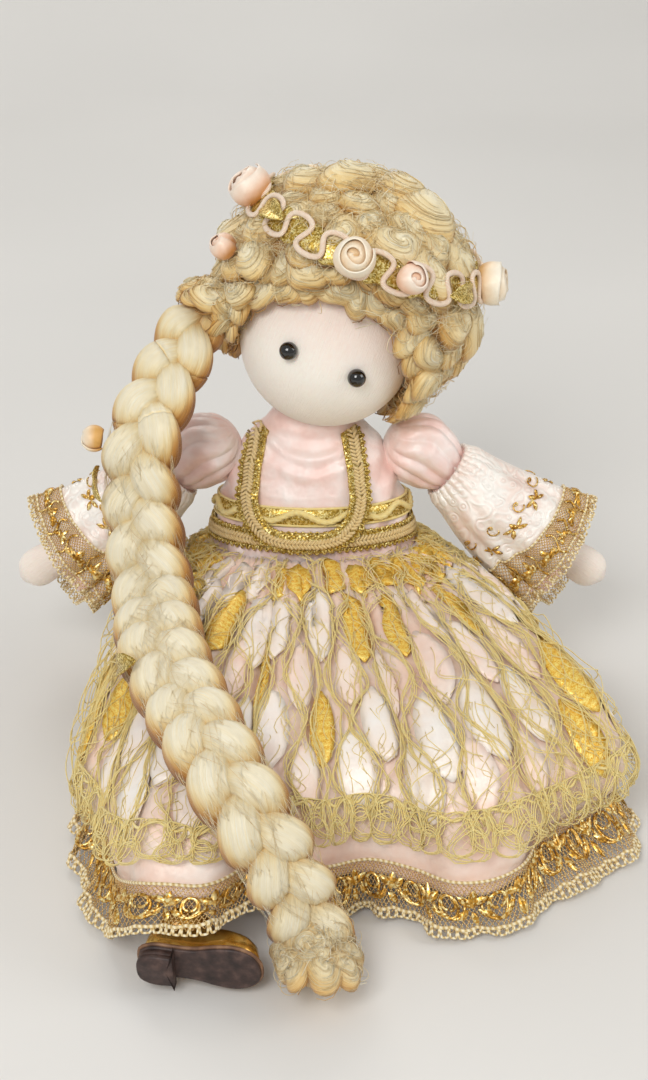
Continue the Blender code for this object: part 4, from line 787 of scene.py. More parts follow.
def curl_layout():
    """Curls of the wig: direction and distance from the head's centre, facing and size.

    They cover the cap, edge it in two rows that turn under at the brow, and close round the plait's root.
    """
    lon, lat = curl_spots(190, math.radians(2.5))
    way = direction(lon, lat)
    near_band = np.exp(-((cap_radius(way) * way[:, 2] - CIRCLET_LEVEL) / 0.0050) ** 2)
    size = draw(0.0050, 0.0100, len(lon)) * (1 - 0.18 * near_band) * (1 + 0.22 * ramp(lat, 0.9, 1.4))
    laid = [(way, cap_radius(way) - 0.0052 - 0.0016 * near_band, way, size)]
    count = 34
    for drop, share in ((-4.0, 0.10), (1.0, 0.52)):
        edge = round_the_ring(count) + draw(0, 0.18) + rng.normal(0, 0.025, count)
        low = rim_latitude(edge) + math.radians(drop) + rng.normal(0, 0.03, count)
        way = direction(edge, low)
        skin = head_radius(way) + 0.0022
        brow = 1 - ramp(np.abs(off_face(edge)), 0.7, 1.3)
        reach = skin + (cap_radius(way) - 0.0035 - skin) * (share + 0.22 * (1 - brow))
        under = unit_rows(direction(edge, low - 0.1) - way)
        facing = unit_rows(way + under * ((0.45 - 0.4 * share) * brow)[:, None])
        laid.append((way, reach, facing, draw(0.0050, 0.0072, count)))
    count = 16
    start, toward = ROUTE[1][0], unit(ROUTE[1][0] - ROUTE[1][40])
    bulge = unit_rows(toward + np.array([0.0, -0.5, -0.2]) + 0.85 * unit_rows(rng.normal(size=(count, 3))))
    root = (start + bulge * 0.0058 - HEAD_CENTRE) @ HEAD_TURN
    reach = np.linalg.norm(root, axis=1)
    laid.append((unit_rows(root), reach, bulge @ HEAD_TURN, draw(0.0042, 0.0058, count)))
    return [np.concatenate(field) for field in zip(*laid)]


def make_wig():
    """Cap of snail-shell curls over a base darkened as painted shade between the curls, with coiled ends at
    the edge and flyaway fibres.
    """
    rim = rim_latitude(round_the_ring(96))[None, :]
    share = np.linspace(0.02, 1.0, 40)[:, None]
    way = direction(round_the_ring(96)[None, :] + 0 * share, math.pi / 2 + (rim - math.pi / 2) * share)
    outer = way * (cap_radius(way) - 0.0034 - 0.003 * ramp(share, 0.85, 1.0))[..., None]
    inner = way * (head_radius(way) + 0.0009)[..., None]
    # The base's low tone of 0.16 is painted shade that shows in the gaps between the curls.
    piece_of("wig_base", CURLS, "head", "curls", "wig", on_head(np.concatenate([outer, inner[::-1]])), 0.16,
             ring=True, caps=True)

    way, reach, facing, size = curl_layout()
    count = len(size)
    along = unit_rows(np.cross(facing, rng.normal(size=(count, 3))))
    out = facing @ HEAD_TURN.T
    places = [on_head(way * reach[:, None]), along @ HEAD_TURN.T, np.cross(facing, along) @ HEAD_TURN.T, out]
    points, tone, flats, paths, fibre_tone = snail_curls(
        places, size, size * draw(0.80, 1.08, count), draw(0, TURN, count), rng.choice([-1.0, 1.0], count),
        draw(0.95, 1.35, count))
    shade = draw(-0.08, 0.08, count)[:, None, None]
    front, left = way[:, 1] < -0.02, way[:, 0] > 0
    for name, some in (("front", front), ("back", ~front)):
        piece_of("wig_curls_" + name, CURLS, "head", "curls", "wig", points[some], (tone + shade)[some],
                 flats[some], ring=True, caps=True, out=(out[:, None, None] + 0 * points)[some])
        for side, half in (("left", left), ("right", ~left)):
            both = some & half
            lines = paths[both].reshape(-1, FIBRE_POINTS, 3)
            tones = (fibre_tone + shade)[both].reshape(-1, FIBRE_POINTS, 1)
            tones = tones + draw(-0.20, 0.18, (len(lines), 1, 1))
            faces = np.repeat(out[both], CURL_FIBRES, axis=0)[:, None] + 0 * lines
            piece_of("wig_fibres_%s_%s" % (name, side), CURLS, "head", "curls", "wig",
                     tubes(lines, faces, 0.00017, sides=3), tones, ring=True)

    # Coiled ends that hang and turn at the edge and stand on the crown
    count, at_edge = 1050, 560
    lon = draw(0, TURN, count)
    rim = rim_latitude(lon)
    lat = np.where(np.arange(count) < at_edge, rim + draw(-0.10, 0.30, count), draw(0.4, 1.5, count))
    way = direction(lon, lat)
    axis = unit_rows(np.cross(way, rng.normal(size=(count, 3))))
    centre = way * (cap_radius(way) - draw(0.0012, 0.006, count) * (lat < rim + 0.1))[:, None]
    coils = loose_coils(on_head(centre), way @ HEAD_TURN.T, axis @ HEAD_TURN.T, draw(0.6, 1.9, count),
                        draw(0.0022, 0.0058, count), 0.00013, 19, draw(0, TURN, count),
                        draw(0.0015, 0.004, count))
    tones = draw(0.35, 0.85, count)[:, None, None]
    piece_of("wig_coiled_ends", CURLS, "head", "curls", "wig", coils, tones, ring=True)

    # Flyaway fibres
    count = 1100
    lon, lat = draw(0, TURN, count), draw(-0.3, 1.5, count)
    way = direction(lon, np.maximum(lat, rim_latitude(lon) + 0.02))
    aside = unit_rows(np.cross(way, rng.normal(size=(count, 3))))
    t = share_row(10)[..., None]
    bend, long, rise = [draw(low, high, count)[:, None, None]
                        for low, high in ((0.2, 2.4), (0.006, 0.015), (0.0005, 0.0038))]
    path = (way * cap_radius(way)[:, None])[:, None] + aside[:, None] * long * (t - 0.5) \
        + way[:, None] * (rise * np.sin(math.pi * t) - 0.0006) \
        + np.cross(way, aside)[:, None] * long * 0.3 * np.sin(bend * t * 3)
    fibres = tubes(on_head(path), (way @ HEAD_TURN.T)[:, None] + 0 * path, 0.00006, sides=3)
    tones = draw(0.45, 0.95, count)[:, None, None]
    piece_of("wig_flyaway_fibres", CURLS, "head", "curls", "wig", fibres, tones, ring=True)


# Plait

PLAIT_ROUTE = [
    (-0.0346, 0.0116, 0.1394), (-0.0408, 0.0046, 0.1302), (-0.0483, -0.0080, 0.1186),
    (-0.0533, -0.0195, 0.1066), (-0.0540, -0.0250, 0.0892), (-0.0525, -0.0330, 0.0766),
    (-0.0492, -0.0470, 0.0655), (-0.0446, -0.0752, 0.0645), (-0.0366, -0.0971, 0.0620),
    (-0.0276, -0.1190, 0.0606), (-0.0162, -0.1362, 0.0512), (-0.0060, -0.1410, 0.0327),
    (-0.0004, -0.1420, 0.0175), (0.0022, -0.1490, 0.0102), (0.0040, -0.1590, 0.0098),
]
PLAIT_FACES = [
    (-0.30, -0.90, 0.30), (-0.30, -0.90, 0.30), (-0.35, -0.90, 0.20), (-0.35, -0.90, 0.10),
    (-0.30, -0.90, 0.30), (-0.30, -0.70, 0.60), (-0.30, -0.30, 0.90), (-0.15, -0.10, 0.98),
    (-0.25, -0.10, 0.95), (-0.10, -0.35, 0.94), (0.10, -0.70, 0.70), (0.20, -0.80, 0.50),
    (0.10, -0.75, 0.65), (0.00, -0.30, 0.95), (0.00, -0.10, 1.00),
]
PLAIT_BEND, PLAIT_TOP, TUFT, PLAIT_BEAT = 0.020, 0.042, 0.018, 0.045
TUFT_CURLS = np.array([
    (0.0170, -0.50, 0.0064), (0.0165, 0.42, 0.0068), (0.0120, -0.02, 0.0070), (0.0095, -0.80, 0.0060),
    (0.0090, 0.74, 0.0066), (0.0060, 0.06, 0.0072), (0.0030, -0.62, 0.0062), (0.0030, 0.70, 0.0060),
    (0.0005, 0.02, 0.0062), (0.0150, -0.95, 0.0044), (0.0145, 0.95, 0.0044), (0.0195, 0.00, 0.0050),
])


def plait_route():
    """The plait's middle line with its length, side and face directions and taper."""
    fine = smooth_curve(PLAIT_ROUTE, 801)
    arc = np.concatenate([[0], np.cumsum(np.linalg.norm(np.diff(fine, axis=0), axis=1))])
    corners = np.linalg.norm(fine[:, None] - np.array(PLAIT_ROUTE)[None], axis=2).argmin(axis=0)
    facing = np.stack([np.interp(arc, arc[corners], row) for row in np.array(PLAIT_FACES).T], axis=1)
    tuft = arc[-1] - TUFT
    taper = np.interp(arc, [0, PLAIT_TOP, tuft / 2, tuft, arc[-1]], [0.78, 0.92, 1.0, 0.84, 0.98])
    side = unit_rows(np.cross(np.gradient(fine, axis=0), facing))
    return arc, fine, side, unit_rows(np.cross(side, np.gradient(fine, axis=0))), taper[:, None]


ROUTE = plait_route()


def along_plait(at):
    """Middle, side, face and taper at distances along the plait."""
    return [np.stack([np.interp(at, ROUTE[0], row) for row in field.T], axis=-1) for field in ROUTE[1:]]


def plait_strands(start, end):
    """Three locks plaited over and under each other.

    Lock k swings aside by 6.8 mm sin(turn) and in and out by 3.4 mm sin(2 turn), where turn grows by a
    full circle each 45 mm and starts a third of a circle further on for each lock. The swings and the
    locks' thickness are drawn in over the first 7.5 mm, and follow the taper.
    """
    at = np.linspace(start, end, max(12, int((end - start) / 0.0009)))
    middle, side, face, taper = along_plait(at)
    turn = TURN * at / PLAIT_BEAT + np.array([0, 1, 2])[:, None] * TURN / 3
    drawn = np.sqrt(np.clip((at + 0.0004) / 0.0075, 0, 1))
    aside = 0.0068 * np.sin(turn) * (0.35 + 0.65 * drawn)
    deep = 0.0034 * np.sin(2 * turn) * drawn
    path = middle + side * (aside * taper[:, 0])[..., None] + face * (deep * taper[:, 0])[..., None]
    full = (1 - 0.16 * np.cos(2 * turn + 0.6)) * (0.12 + 0.88 * drawn)
    full = taper[:, 0] * full
    rings = tubes(path, face + 0 * path, 0.0062 * full, 0.0050 * full, 40, 11, 0.05)
    rings = above_floor(rings, 0.0004)
    # Painted light in the tone: a painted highlight on the raised face of each lock, and painted shade at the
    # plait's sides and where a lock dips under its neighbours.
    high, wide = [np.einsum("kmnc,mc->kmn", rings - middle[None, :, None], way) for way in (face, side)]
    tone = 0.20 + 0.62 * ramp(high, -0.0010, 0.0076) - 0.24 * ramp(np.abs(wide), 0.0085, 0.0135)
    lobe = 0.5 + 0.5 * np.sin(2 * turn - 0.3)[..., None]
    return rings, tone + 0.12 * (lobe - 0.5) - 0.16 * ramp(-lobe, -0.25, 0.0)


def make_plait():
    """The long plait in three stretches, fine fibres over it, and its curled end."""
    end = ROUTE[0][-1]
    tuft = end - TUFT
    stretches = (("plait_at_head", 0.0, PLAIT_BEND, "plait_top"),
                 ("plait_at_shoulder", PLAIT_BEND, PLAIT_TOP, "plait_top"),
                 ("plait_over_lap", PLAIT_TOP, tuft + 0.004, "plait"))
    pieces = {}
    for name, start, stop, node in stretches:
        plait = Goods()
        plait.add(*plait_strands(start, stop), ring=True, caps=True)
        pieces[name] = plait.make(name, HAIR)
        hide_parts(node)
    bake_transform(pieces["plait_at_head"])
    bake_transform(pieces["plait_at_shoulder"])
    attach(pieces["plait_over_lap"], "torso")

    # Loose fibres that stand off the locks
    count = 700
    at = draw(PLAIT_TOP + 0.008, tuft - 0.004, count)
    t = np.linspace(-1, 1, 9)[None, :]
    middle, side, face, taper = along_plait(at[:, None] + t * draw(0.004, 0.009, count)[:, None])
    angle = draw(0.1, math.pi - 0.1, count)[:, None] + draw(-0.5, 0.5, count)[:, None] * t
    reach = 1 + draw(0.0, 0.10, count)[:, None] * (1 - t ** 2)
    path = middle + swung(0.0124 * reach, angle, side * taper, face * taper, 0.0086 * reach)
    piece_of("plait_loose_fibres", HAIR, "torso", "curls", "plait", tubes(path, face, 0.00006, sides=3),
             draw(0.5, 1.0, count)[:, None, None], ring=True, caps=True)

    # Curled end: a soft core under curls and fine coils
    middle, side, face, _ = along_plait(np.linspace(tuft - 0.002, end - 0.001, 26))
    swell = np.sin(math.pi * np.linspace(0.16, 0.97, 26)) ** 0.6
    core = tubes(middle + face * 0.0002, face, 0.0088 * swell, 0.0058 * swell, 28, 7, 0.08)
    piece_of("plait_tuft_core", HAIR, "torso", "curls", "plait_tuft", above_floor(core, 0.0004),
             ring=True, caps=True)

    count = len(TUFT_CURLS)
    size = TUFT_CURLS[:, 2]
    middle, side, face, _ = along_plait(end - TUFT_CURLS[:, 0])
    lean = TUFT_CURLS[:, 1:2] + rng.normal(0, 0.05, (count, 1))
    facing = unit_rows(face + 0.9 * side * lean + 0.15 * rng.normal(size=(count, 3)))
    spot = above_floor(middle + side * 0.0078 * lean + face * (0.0030 - 0.0028 * lean ** 2), 0.0048)
    along = unit_rows(np.cross(facing, rng.normal(size=(count, 3))))
    points, tone, flats, paths, fibre_tone = snail_curls(
        [spot, along, np.cross(facing, along), facing], size, size * 0.85, draw(0, TURN, count),
        rng.choice([-1.0, 1.0], count), draw(0.9, 1.15, count))
    curls = Goods()
    curls.add(above_floor(points, 0.0004), np.clip(tone, 0.36, 1.0), flats, ring=True, caps=True,
              out=facing[:, None, None] + 0 * points)
    lines = above_floor(paths.reshape(-1, FIBRE_POINTS, 3), 0.0006)
    tone = np.clip(fibre_tone.reshape(-1, FIBRE_POINTS, 1), 0.36, 1.0) + draw(-0.2, 0.2, (len(lines), 1, 1))
    faces = np.repeat(facing, CURL_FIBRES, axis=0)[:, None] + 0 * lines
    curls.add(tubes(lines, faces, 0.00012, sides=3), tone, ring=True)

    count = 130
    middle, side, face, _ = along_plait(end - draw(0.000, 0.020, count))
    angle = draw(-0.05, 1.05, count) * math.pi
    facing = unit_rows(swung(1.0, angle, side, face) + 0.4 * rng.normal(size=(count, 3)))
    spot = above_floor(middle + swung(0.0100, angle, side, face, 0.0085), 0.0035)
    axis = unit_rows(np.cross(facing, rng.normal(size=(count, 3))))
    coils = loose_coils(spot, facing, axis, draw(0.6, 1.6, count), draw(0.0018, 0.0040, count), 0.00012, 22,
                        draw(0, TURN, count), draw(0.0010, 0.0030, count))
    curls.add(above_floor(coils, 0.0002), draw(0.45, 0.95, count)[:, None, None], ring=True)
    fit(curls.make("plait_tuft_curls", HAIR), "torso", "curls", "plait_tuft")


# Circlet, roses and leaves

def circlet_point(longitude, out=0.0, lift=0.0):
    """A place on the round of the wig at the circlet's level, in the head's frame, and its outward normal."""
    height = CIRCLET_LEVEL + lift - WIG_RISE
    radius = np.sqrt(WIG_RADIUS ** 2 - height ** 2)
    flat = [np.sin(longitude) * radius, -np.cos(longitude) * radius, height + 0 * longitude]
    outward = np.stack(flat, axis=-1) / WIG_RADIUS
    return outward * (WIG_RADIUS + np.asarray(out))[..., None] + np.array([0, 0, WIG_RISE]), outward


def make_circlet():
    """Gilt band with a soutache cord that runs in bulbous loops along it.

    The cord is at a height 4.3 mm sin(17 turn) off the band's middle, at turn - 0.062 sin(34 turn).
    """
    section = ((0.0004, -0.5), (0.0017, -0.48), (0.0021, -0.25), (0.0022, 0.0), (0.0021, 0.25),
               (0.0017, 0.48), (0.0004, 0.5), (0.0004, 0.0))
    longitude = round_the_ring(240)[None, :]
    out, lift = [np.array(column)[:, None] + 0 * longitude for column in zip(*section)]
    longitude = longitude + 0 * out
    wave = 0.0006 * np.sin(34 * longitude) * np.sign(lift)
    grid = on_head(circlet_point(longitude, out, 0.0080 * lift + wave)[0])
    core = on_head(circlet_point(longitude, 0.0014 + 0 * out, 0 * out)[0])
    piece_of("circlet_gilt_band", GILT, "head", "gilt_gimp", "circlet_band", grid,
             loop=True, ring=True, out=grid - core)
    turn = round_the_ring(1600)
    wave = 17 * turn
    path, normal = circlet_point(turn - 0.062 * np.sin(2 * wave), 0.0028 + 0.0003 * np.cos(wave),
                                 0.0043 * np.sin(wave))
    cord = tubes(on_head(path), normal @ HEAD_TURN.T, 0.00092, 0.0007, 8)[0]
    piece_of("circlet_soutache_cords", SOUTACHE, "head", "gilt_gimp", "circlet_band", cord,
             loop=True, ring=True)


def wound_rose(name, ribbon, body, node, base, axis, turns, size=1.0):
    """Ribbon wound outwards from the heart into a bud.

    A layer at a turn of the ribbon is a ball of radius 3.4 mm + 0.75 mm turns, cut open round the axis at
    5 + 21 turns degrees, where its upper edge lies a little proud.
    """
    axis = unit(axis)
    side = unit(np.cross(axis, [0.3, 0.2, 1.0]))
    across = np.cross(axis, side)
    angle = np.linspace(0, turns * TURN, int(turns * 40))[:, None]
    rise = np.linspace(0, 1, 13)[None, :]
    wound = angle / TURN
    roll = np.clip((rise - 0.80) / 0.20, 0, 1)
    opening = np.radians(5 + 21 * wound + 4 * np.sin(2.3 * angle + 0.5) * np.minimum(wound, 1))
    polar = np.radians(132) * (1 - rise) + opening * rise
    uneven = 1 + 0.03 * np.sin(3 * angle) + 0.05 * roll ** 2 * np.minimum(wound, 1)
    ball = size * (0.0034 + 0.00075 * wound) * uneven
    middle = np.array(base) + axis * 0.0030 * size
    grid = middle + swung(np.sin(polar) * ball, angle, side, across)
    grid = grid + (np.cos(polar) * ball * 0.96)[..., None] * axis
    # Painted shade in the tone: it deepens towards the base of each wound layer and is lightest at the upper
    # edge, with the outer turns a little paler.
    tone = 0.42 + 0.08 * wound + 0.26 * rise - 0.62 * (1 - rise) ** 1.4
    goods = Goods()
    goods.add(grid, tone, out=grid - middle)
    heart = np.linspace(0, 1, 7)[:, None] * math.radians(75)
    ring = round_the_ring(18)[None, :]
    bud = 0.0032 * size
    dome = swung(np.sin(heart) * bud, ring, side, across) + (np.cos(heart) * bud + 0 * ring)[..., None] * axis
    goods.add(middle + dome, 0.42, ring=True, out=axis)
    slot = "peach_ribbon" if ribbon is PEACH_RIBBON else "cream_ribbon"
    fit(thicken(goods.make(name, ribbon), 0.00035), body, slot, node)


def folded_leaf(name, body, node, base, along, up, length=0.0135, width=0.0068):
    """Ribbon leaf: width sin(pi share) to the 0.7, folded up along both edges and curved down at its tip."""
    along = unit(along)
    side = unit(np.cross(along, up))
    lift = np.cross(side, along)
    share = np.linspace(0, 1, 18)[:, None]
    across = np.linspace(-1, 1, 9)[None, :]
    swell = 0.08 + 0.92 * np.sin(math.pi * share ** 0.85) ** 0.7
    half = width / 2 * swell * (1 + 0.04 * np.sin(20 * share))
    grid = np.array(base) + (length * share + 0 * across)[..., None] * along
    grid = grid + (half * across)[..., None] * side
    rise = 0.40 * half * np.abs(across) + 0.0012 * np.sin(math.pi * share) - 0.0006 * share
    goods = Goods()
    goods.add(grid + (0.0006 + rise)[..., None] * lift, 0.35 + 0.3 * np.abs(across) + 0 * share, out=lift)
    fit(thicken(goods.make(name, OLIVE), 0.0003), body, "olive_ribbon", node)


def make_roses():
    """Ribbon roses and leaves on the circlet, at the plait's root and on the plait."""
    table = (("rose_right_temple", -80, 2.8, 1.28, PEACH_RIBBON),
             ("rose_brow", -6, 2.6, 1.24, CREAM_RIBBON),
             ("rose_bud_brow", 20, 1.8, 1.1, PEACH_RIBBON),
             ("rose_left_temple", 84, 3.2, 1.24, CREAM_RIBBON),
             ("rose_back_left", 146, 2.5, 1.2, PEACH_RIBBON),
             ("rose_back_right", -146, 2.5, 1.2, CREAM_RIBBON))
    for node, degrees, turns, size, ribbon in table:
        spot, outward = circlet_point(np.array(math.radians(degrees)), 0.0022)
        wound_rose("ribbon_" + node, ribbon, "head", node, on_head(spot), HEAD_TURN @ outward, turns, size)
    way = direction(np.array(math.radians(-66.0)), np.array(math.radians(24.0)))
    wound_rose("ribbon_rose_plait_root", PEACH_RIBBON, "head", "rose_plait_root",
               on_head(way * (cap_radius(way) + 0.0026)), HEAD_TURN @ way, 1.6)
    for node, degrees, sense in (("leaf_right_temple", -62, 1), ("leaf_left_temple", 62, -1)):
        longitude = math.radians(degrees)
        spot, outward = circlet_point(np.array(longitude), 0.0022)
        along = HEAD_TURN @ np.array([math.cos(longitude), math.sin(longitude), 0.1])
        folded_leaf("ribbon_" + node, "head", node, on_head(spot), along * sense, HEAD_TURN @ outward)
    stand = math.radians(18)
    for node, at in (("plait_bud", 0.0495), ("plait_leaf_upper", 0.057), ("plait_leaf_lower", 0.134)):
        middle, side, face, taper = [field[0] for field in along_plait(np.array([at]))]
        down = unit(along_plait(np.array([at + 0.001]))[0][0] - middle)
        out = unit(side * math.cos(stand) * 0.0088 + face * math.sin(stand) * 0.014)
        base = middle + side * 0.0137 * taper + face * 0.0028 * taper
        if node == "plait_bud":
            wound_rose("ribbon_" + node, CREAM_RIBBON, "torso", node, base, out, 1.4)
        else:
            folded_leaf("ribbon_" + node, "torso", node, base, down * 0.9 - np.cross(down, out), out)


make_body()
make_head()
make_wig()
make_plait()
make_circlet()
make_roses()


# Cloth laid on surfaces

BAND_RISE = np.array([0.0, 0.6, 1.0, 1.0, 1.0, 0.6, 0.0, 0.0])


def cords_on(goods, cloth, along, around, lift, width, depth=None, sides=6, **ridges):
    """Round or flat cords whose middle lines run over a cloth at shares of it."""
    along, around, lift = np.broadcast_arrays(along, around, lift)
    faces = cloth.out(along, around)
    cords = tubes(cloth.at(along, around, lift), faces, width, depth, sides, **ridges)
    goods.add(cords, ring=True, caps=True)


def petals_on(goods, cloth, along, around, length, width, lift, turn, tone=0.5, slot=0, full=0.8,
              dome=0.0006):
    """Leaf patches on a cloth: half width sin(pi share) to the power full, domed along the middle."""
    along, around, turn, length, width = [np.broadcast_to(v, np.shape(around)).astype(float)[:, None, None]
                                          for v in (along, around, turn, length, width)]
    share = np.linspace(0, 1, 9)[None, :, None]
    across = np.linspace(-1, 1, 5)[None, None, :]
    half = width / 2 * (0.05 + 0.95 * np.sin(math.pi * share) ** full)
    x, y = half * across, length * (share - 0.5) + 0 * across
    a = along + (x * np.sin(turn) + y * np.cos(turn)) / cloth.reach
    b = around + cloth.share_of_girth(x * np.cos(turn) - y * np.sin(turn), along)
    rise = lift + dome * (1 - across ** 2) * np.sin(math.pi * share)
    goods.add(cloth.at(a, b, rise), tone, out=cloth.out(a, b), slot=slot)


def bands_on(goods, cloth, along, width, lift, thick=0.0009):
    """Ribbon round a cloth, square to it, with rounded edges."""
    across = np.array([-0.5, -0.5, -0.46, 0.0, 0.46, 0.5, 0.5, 0.0])[:, None]
    around = np.linspace(0, 1, 220, endpoint=False)[None, :]
    grid = cloth.at(along + across * width / cloth.reach, around, BAND_RISE[:, None] * thick + lift)
    middle = cloth.at(along + 0 * across, around, lift + thick / 2)
    goods.add(grid, loop=True, ring=True, out=grid - middle)


def net_on(goods, cloth, start, end, count, slant, lift, thread, steps=14):
    """Net: two families of threads that cross a cloth on the slant, evenly spaced round it."""
    t = share_row(steps)
    first = np.arange(count)[:, None] / count
    for sign in (-1, 1):
        around = first + sign * slant * (t - 0.5)
        cords_on(goods, cloth, start + (end - start) * t, around, lift + 0.00006 * sign, thread, sides=3)


def loops_on(goods, cloth, along, reach, count, lift, thread):
    """Picot loops: each hangs below a line on the cloth by reach times sin(pi t) to the 0.8."""
    t = share_row(11)
    first = np.arange(count)[:, None] / count
    fall = reach / cloth.reach * np.sin(math.pi * t) ** 0.8
    around = first + (0.9 * (t - 0.5) - 0.10 * np.sin(TURN * t)) / count
    cords_on(goods, cloth, along + fall, around, lift, thread, sides=5)


def declare(piece):
    """Read the area of each face of a sheet; nothing further is done with them."""
    areas = np.zeros(len(piece.data.polygons))
    piece.data.polygons.foreach_get("area", areas)


# Bodice and its trims

def bodice_cloth():
    """Body surface from the waist to the neck with creases, dished round the sleeve heads."""
    share = np.linspace(0.50, 0.994, 76)[:, None]
    angle = round_the_ring(170)[None, :]
    grid = torso_points(share, angle)
    normal = surface_normals(grid)
    x, z = grid[..., 0], grid[..., 2]
    chin = np.exp(-(x / 0.013) ** 2) * (np.sin(angle) < 0)
    crease = sum(deep * chin * np.exp(-((z - low - 22 * x * x) / wide) ** 2)
                 for low, wide, deep in ((0.0885, 0.0015, 0.0012), (0.0838, 0.0018, 0.0008)))
    gather = 0.0004 * np.cos(46 * angle + 3 * np.sin(z * 200)) * (1 - ramp(share, 0.52, 0.70))
    pull = 0.0008 * np.sin(z * 300 - np.abs(x) * 620) * ramp(np.abs(x), 0.018, 0.026)
    rim = 0.0014 * ramp(share, 0.955, 0.985)
    grid = grid + normal * (0.0011 + crease + gather + pull + rim)[..., None]
    grid = dished(grid, 0.0124)
    middle = grid[-1].mean(axis=0)
    collar = [middle + (grid[-1] - middle) * wide + np.array([0, 0, high])
              for wide, high in ((0.98, 0.0010), (0.94, 0.0020), (0.88, 0.0027), (0.80, 0.0030))]
    return np.concatenate([grid, np.stack(collar)])


def chest_points(x, height):
    """Front of the chest at distances to the side and heights along the spine."""
    share = height / TORSO_HEIGHT
    for _ in range(3):
        width = np.interp(share, TORSO_TABLE[:, 0], TORSO_TABLE[:, 1]) * HALF_WIDTH
        angle = -np.arccos(np.clip(x / width, -1, 1))
        off_spine = torso_points(share, angle)[..., 1] - SPINE_SLOPE * height
        share = (height - SPINE_SLOPE * off_spine) / TORSO_HEIGHT
    return torso_points(share, angle)


def braid_on(gilt, cord, place, length, width, lift):
    """Gimp braid: slanting cords in two rows that meet in a herringbone, and small loops at both edges.

    place turns a distance along the trim and one across it into points and normals. A slanting cord
    rises by 0.6 mm sin(pi (0.15 + 0.7 t)), and a loop reaches out by 0.2 width sin(pi t).
    """
    count = int(length / 0.0011)
    start = (np.arange(count)[:, None] + 0.5) * length / count
    t = share_row(6)
    for sign in (-1, 1):
        along = start + 0.0012 * (t - 0.5)
        points, normal = place(along, sign * width * 0.22 * t + 0 * along)
        rise = lift + 0.0006 * np.sin(math.pi * (0.15 + 0.7 * t))
        cord.add(tubes(points + normal * rise[..., None], normal, 0.00052, 0.00042, 6), ring=True, caps=True)
    count = int(length / 0.0019)
    start = (np.arange(count)[:, None] + 0.5) * length / count
    t = share_row(9)
    for sign in (-1, 1):
        along = start + 0.0014 * (t - 0.5)
        points, normal = place(along, sign * width * (0.30 + 0.20 * np.sin(math.pi * t)) + 0 * along)
        gilt.add(tubes(points + normal * (lift + 0.0002), normal, 0.00038, 0.0003, 5), ring=True, caps=True)


def fit_trim(node, slot, **pieces):
    """Make the goods of one trim into pieces that ride on the body: name to goods and finish."""
    for name, (goods, finish) in pieces.items():
        fit(goods.make(name, finish), "torso", slot, node)


def make_bodice():
    """Satin bodice with its waist gimp and waved trim.

    The waved cord is at a height 1.6 mm sin(n turn) off its band's middle, where n is the whole number
    nearest to girth / 15.5 mm.
    """
    bodice = piece_of("satin_bodice", PINK_SATIN, "torso", "pink_satin", "bodice", bodice_cloth(), 0.62,
                      ring=True)
    thicken(bodice, 0.0009)
    declare(bodice)

    belt = Cloth(belt_grid(np.linspace(0.0535, 0.0745, 24), 240))
    girth = belt.girths.mean()
    low, high = (0.0600 - 0.0535) / 0.021, (0.0680 - 0.0535) / 0.021

    def round_the_waist(along, across):
        """Points and normals on the waist gimp's line."""
        shares = (low + across / belt.reach, along / girth)
        return belt.at(*shares, 0.0), belt.out(*shares)

    gilt, cord = Goods(), Goods()
    bands_on(gilt, belt, low, 0.0066, 0.0018)
    braid_on(gilt, cord, round_the_waist, girth, 0.0072, 0.0027)
    fit_trim("waist_trim", "gilt_gimp", waist_gimp_band=(gilt, GILT), waist_gimp_braid=(cord, GIMP_CORD))

    gilt, cord = Goods(), Goods()
    bands_on(gilt, belt, high, 0.0054, 0.0018, 0.0007)
    around = share_row(700)
    wave = high + 0.0016 / belt.reach * np.sin(round(girth / 0.0155) * TURN * around)
    cords_on(cord, belt, wave, around, 0.0030, 0.00105, 0.0009, 9, ridges=3, ridge=0.16, twist=0.8)
    for edge in (-0.0029, 0.0029):
        cords_on(cord, belt, high + edge / belt.reach, around[:, ::2], 0.0024, 0.00045)
    fit_trim("wave_trim", "cream_trim", wave_trim_band=(gilt, GILT), wave_trim_cords=(cord, YELLOW_CORD))


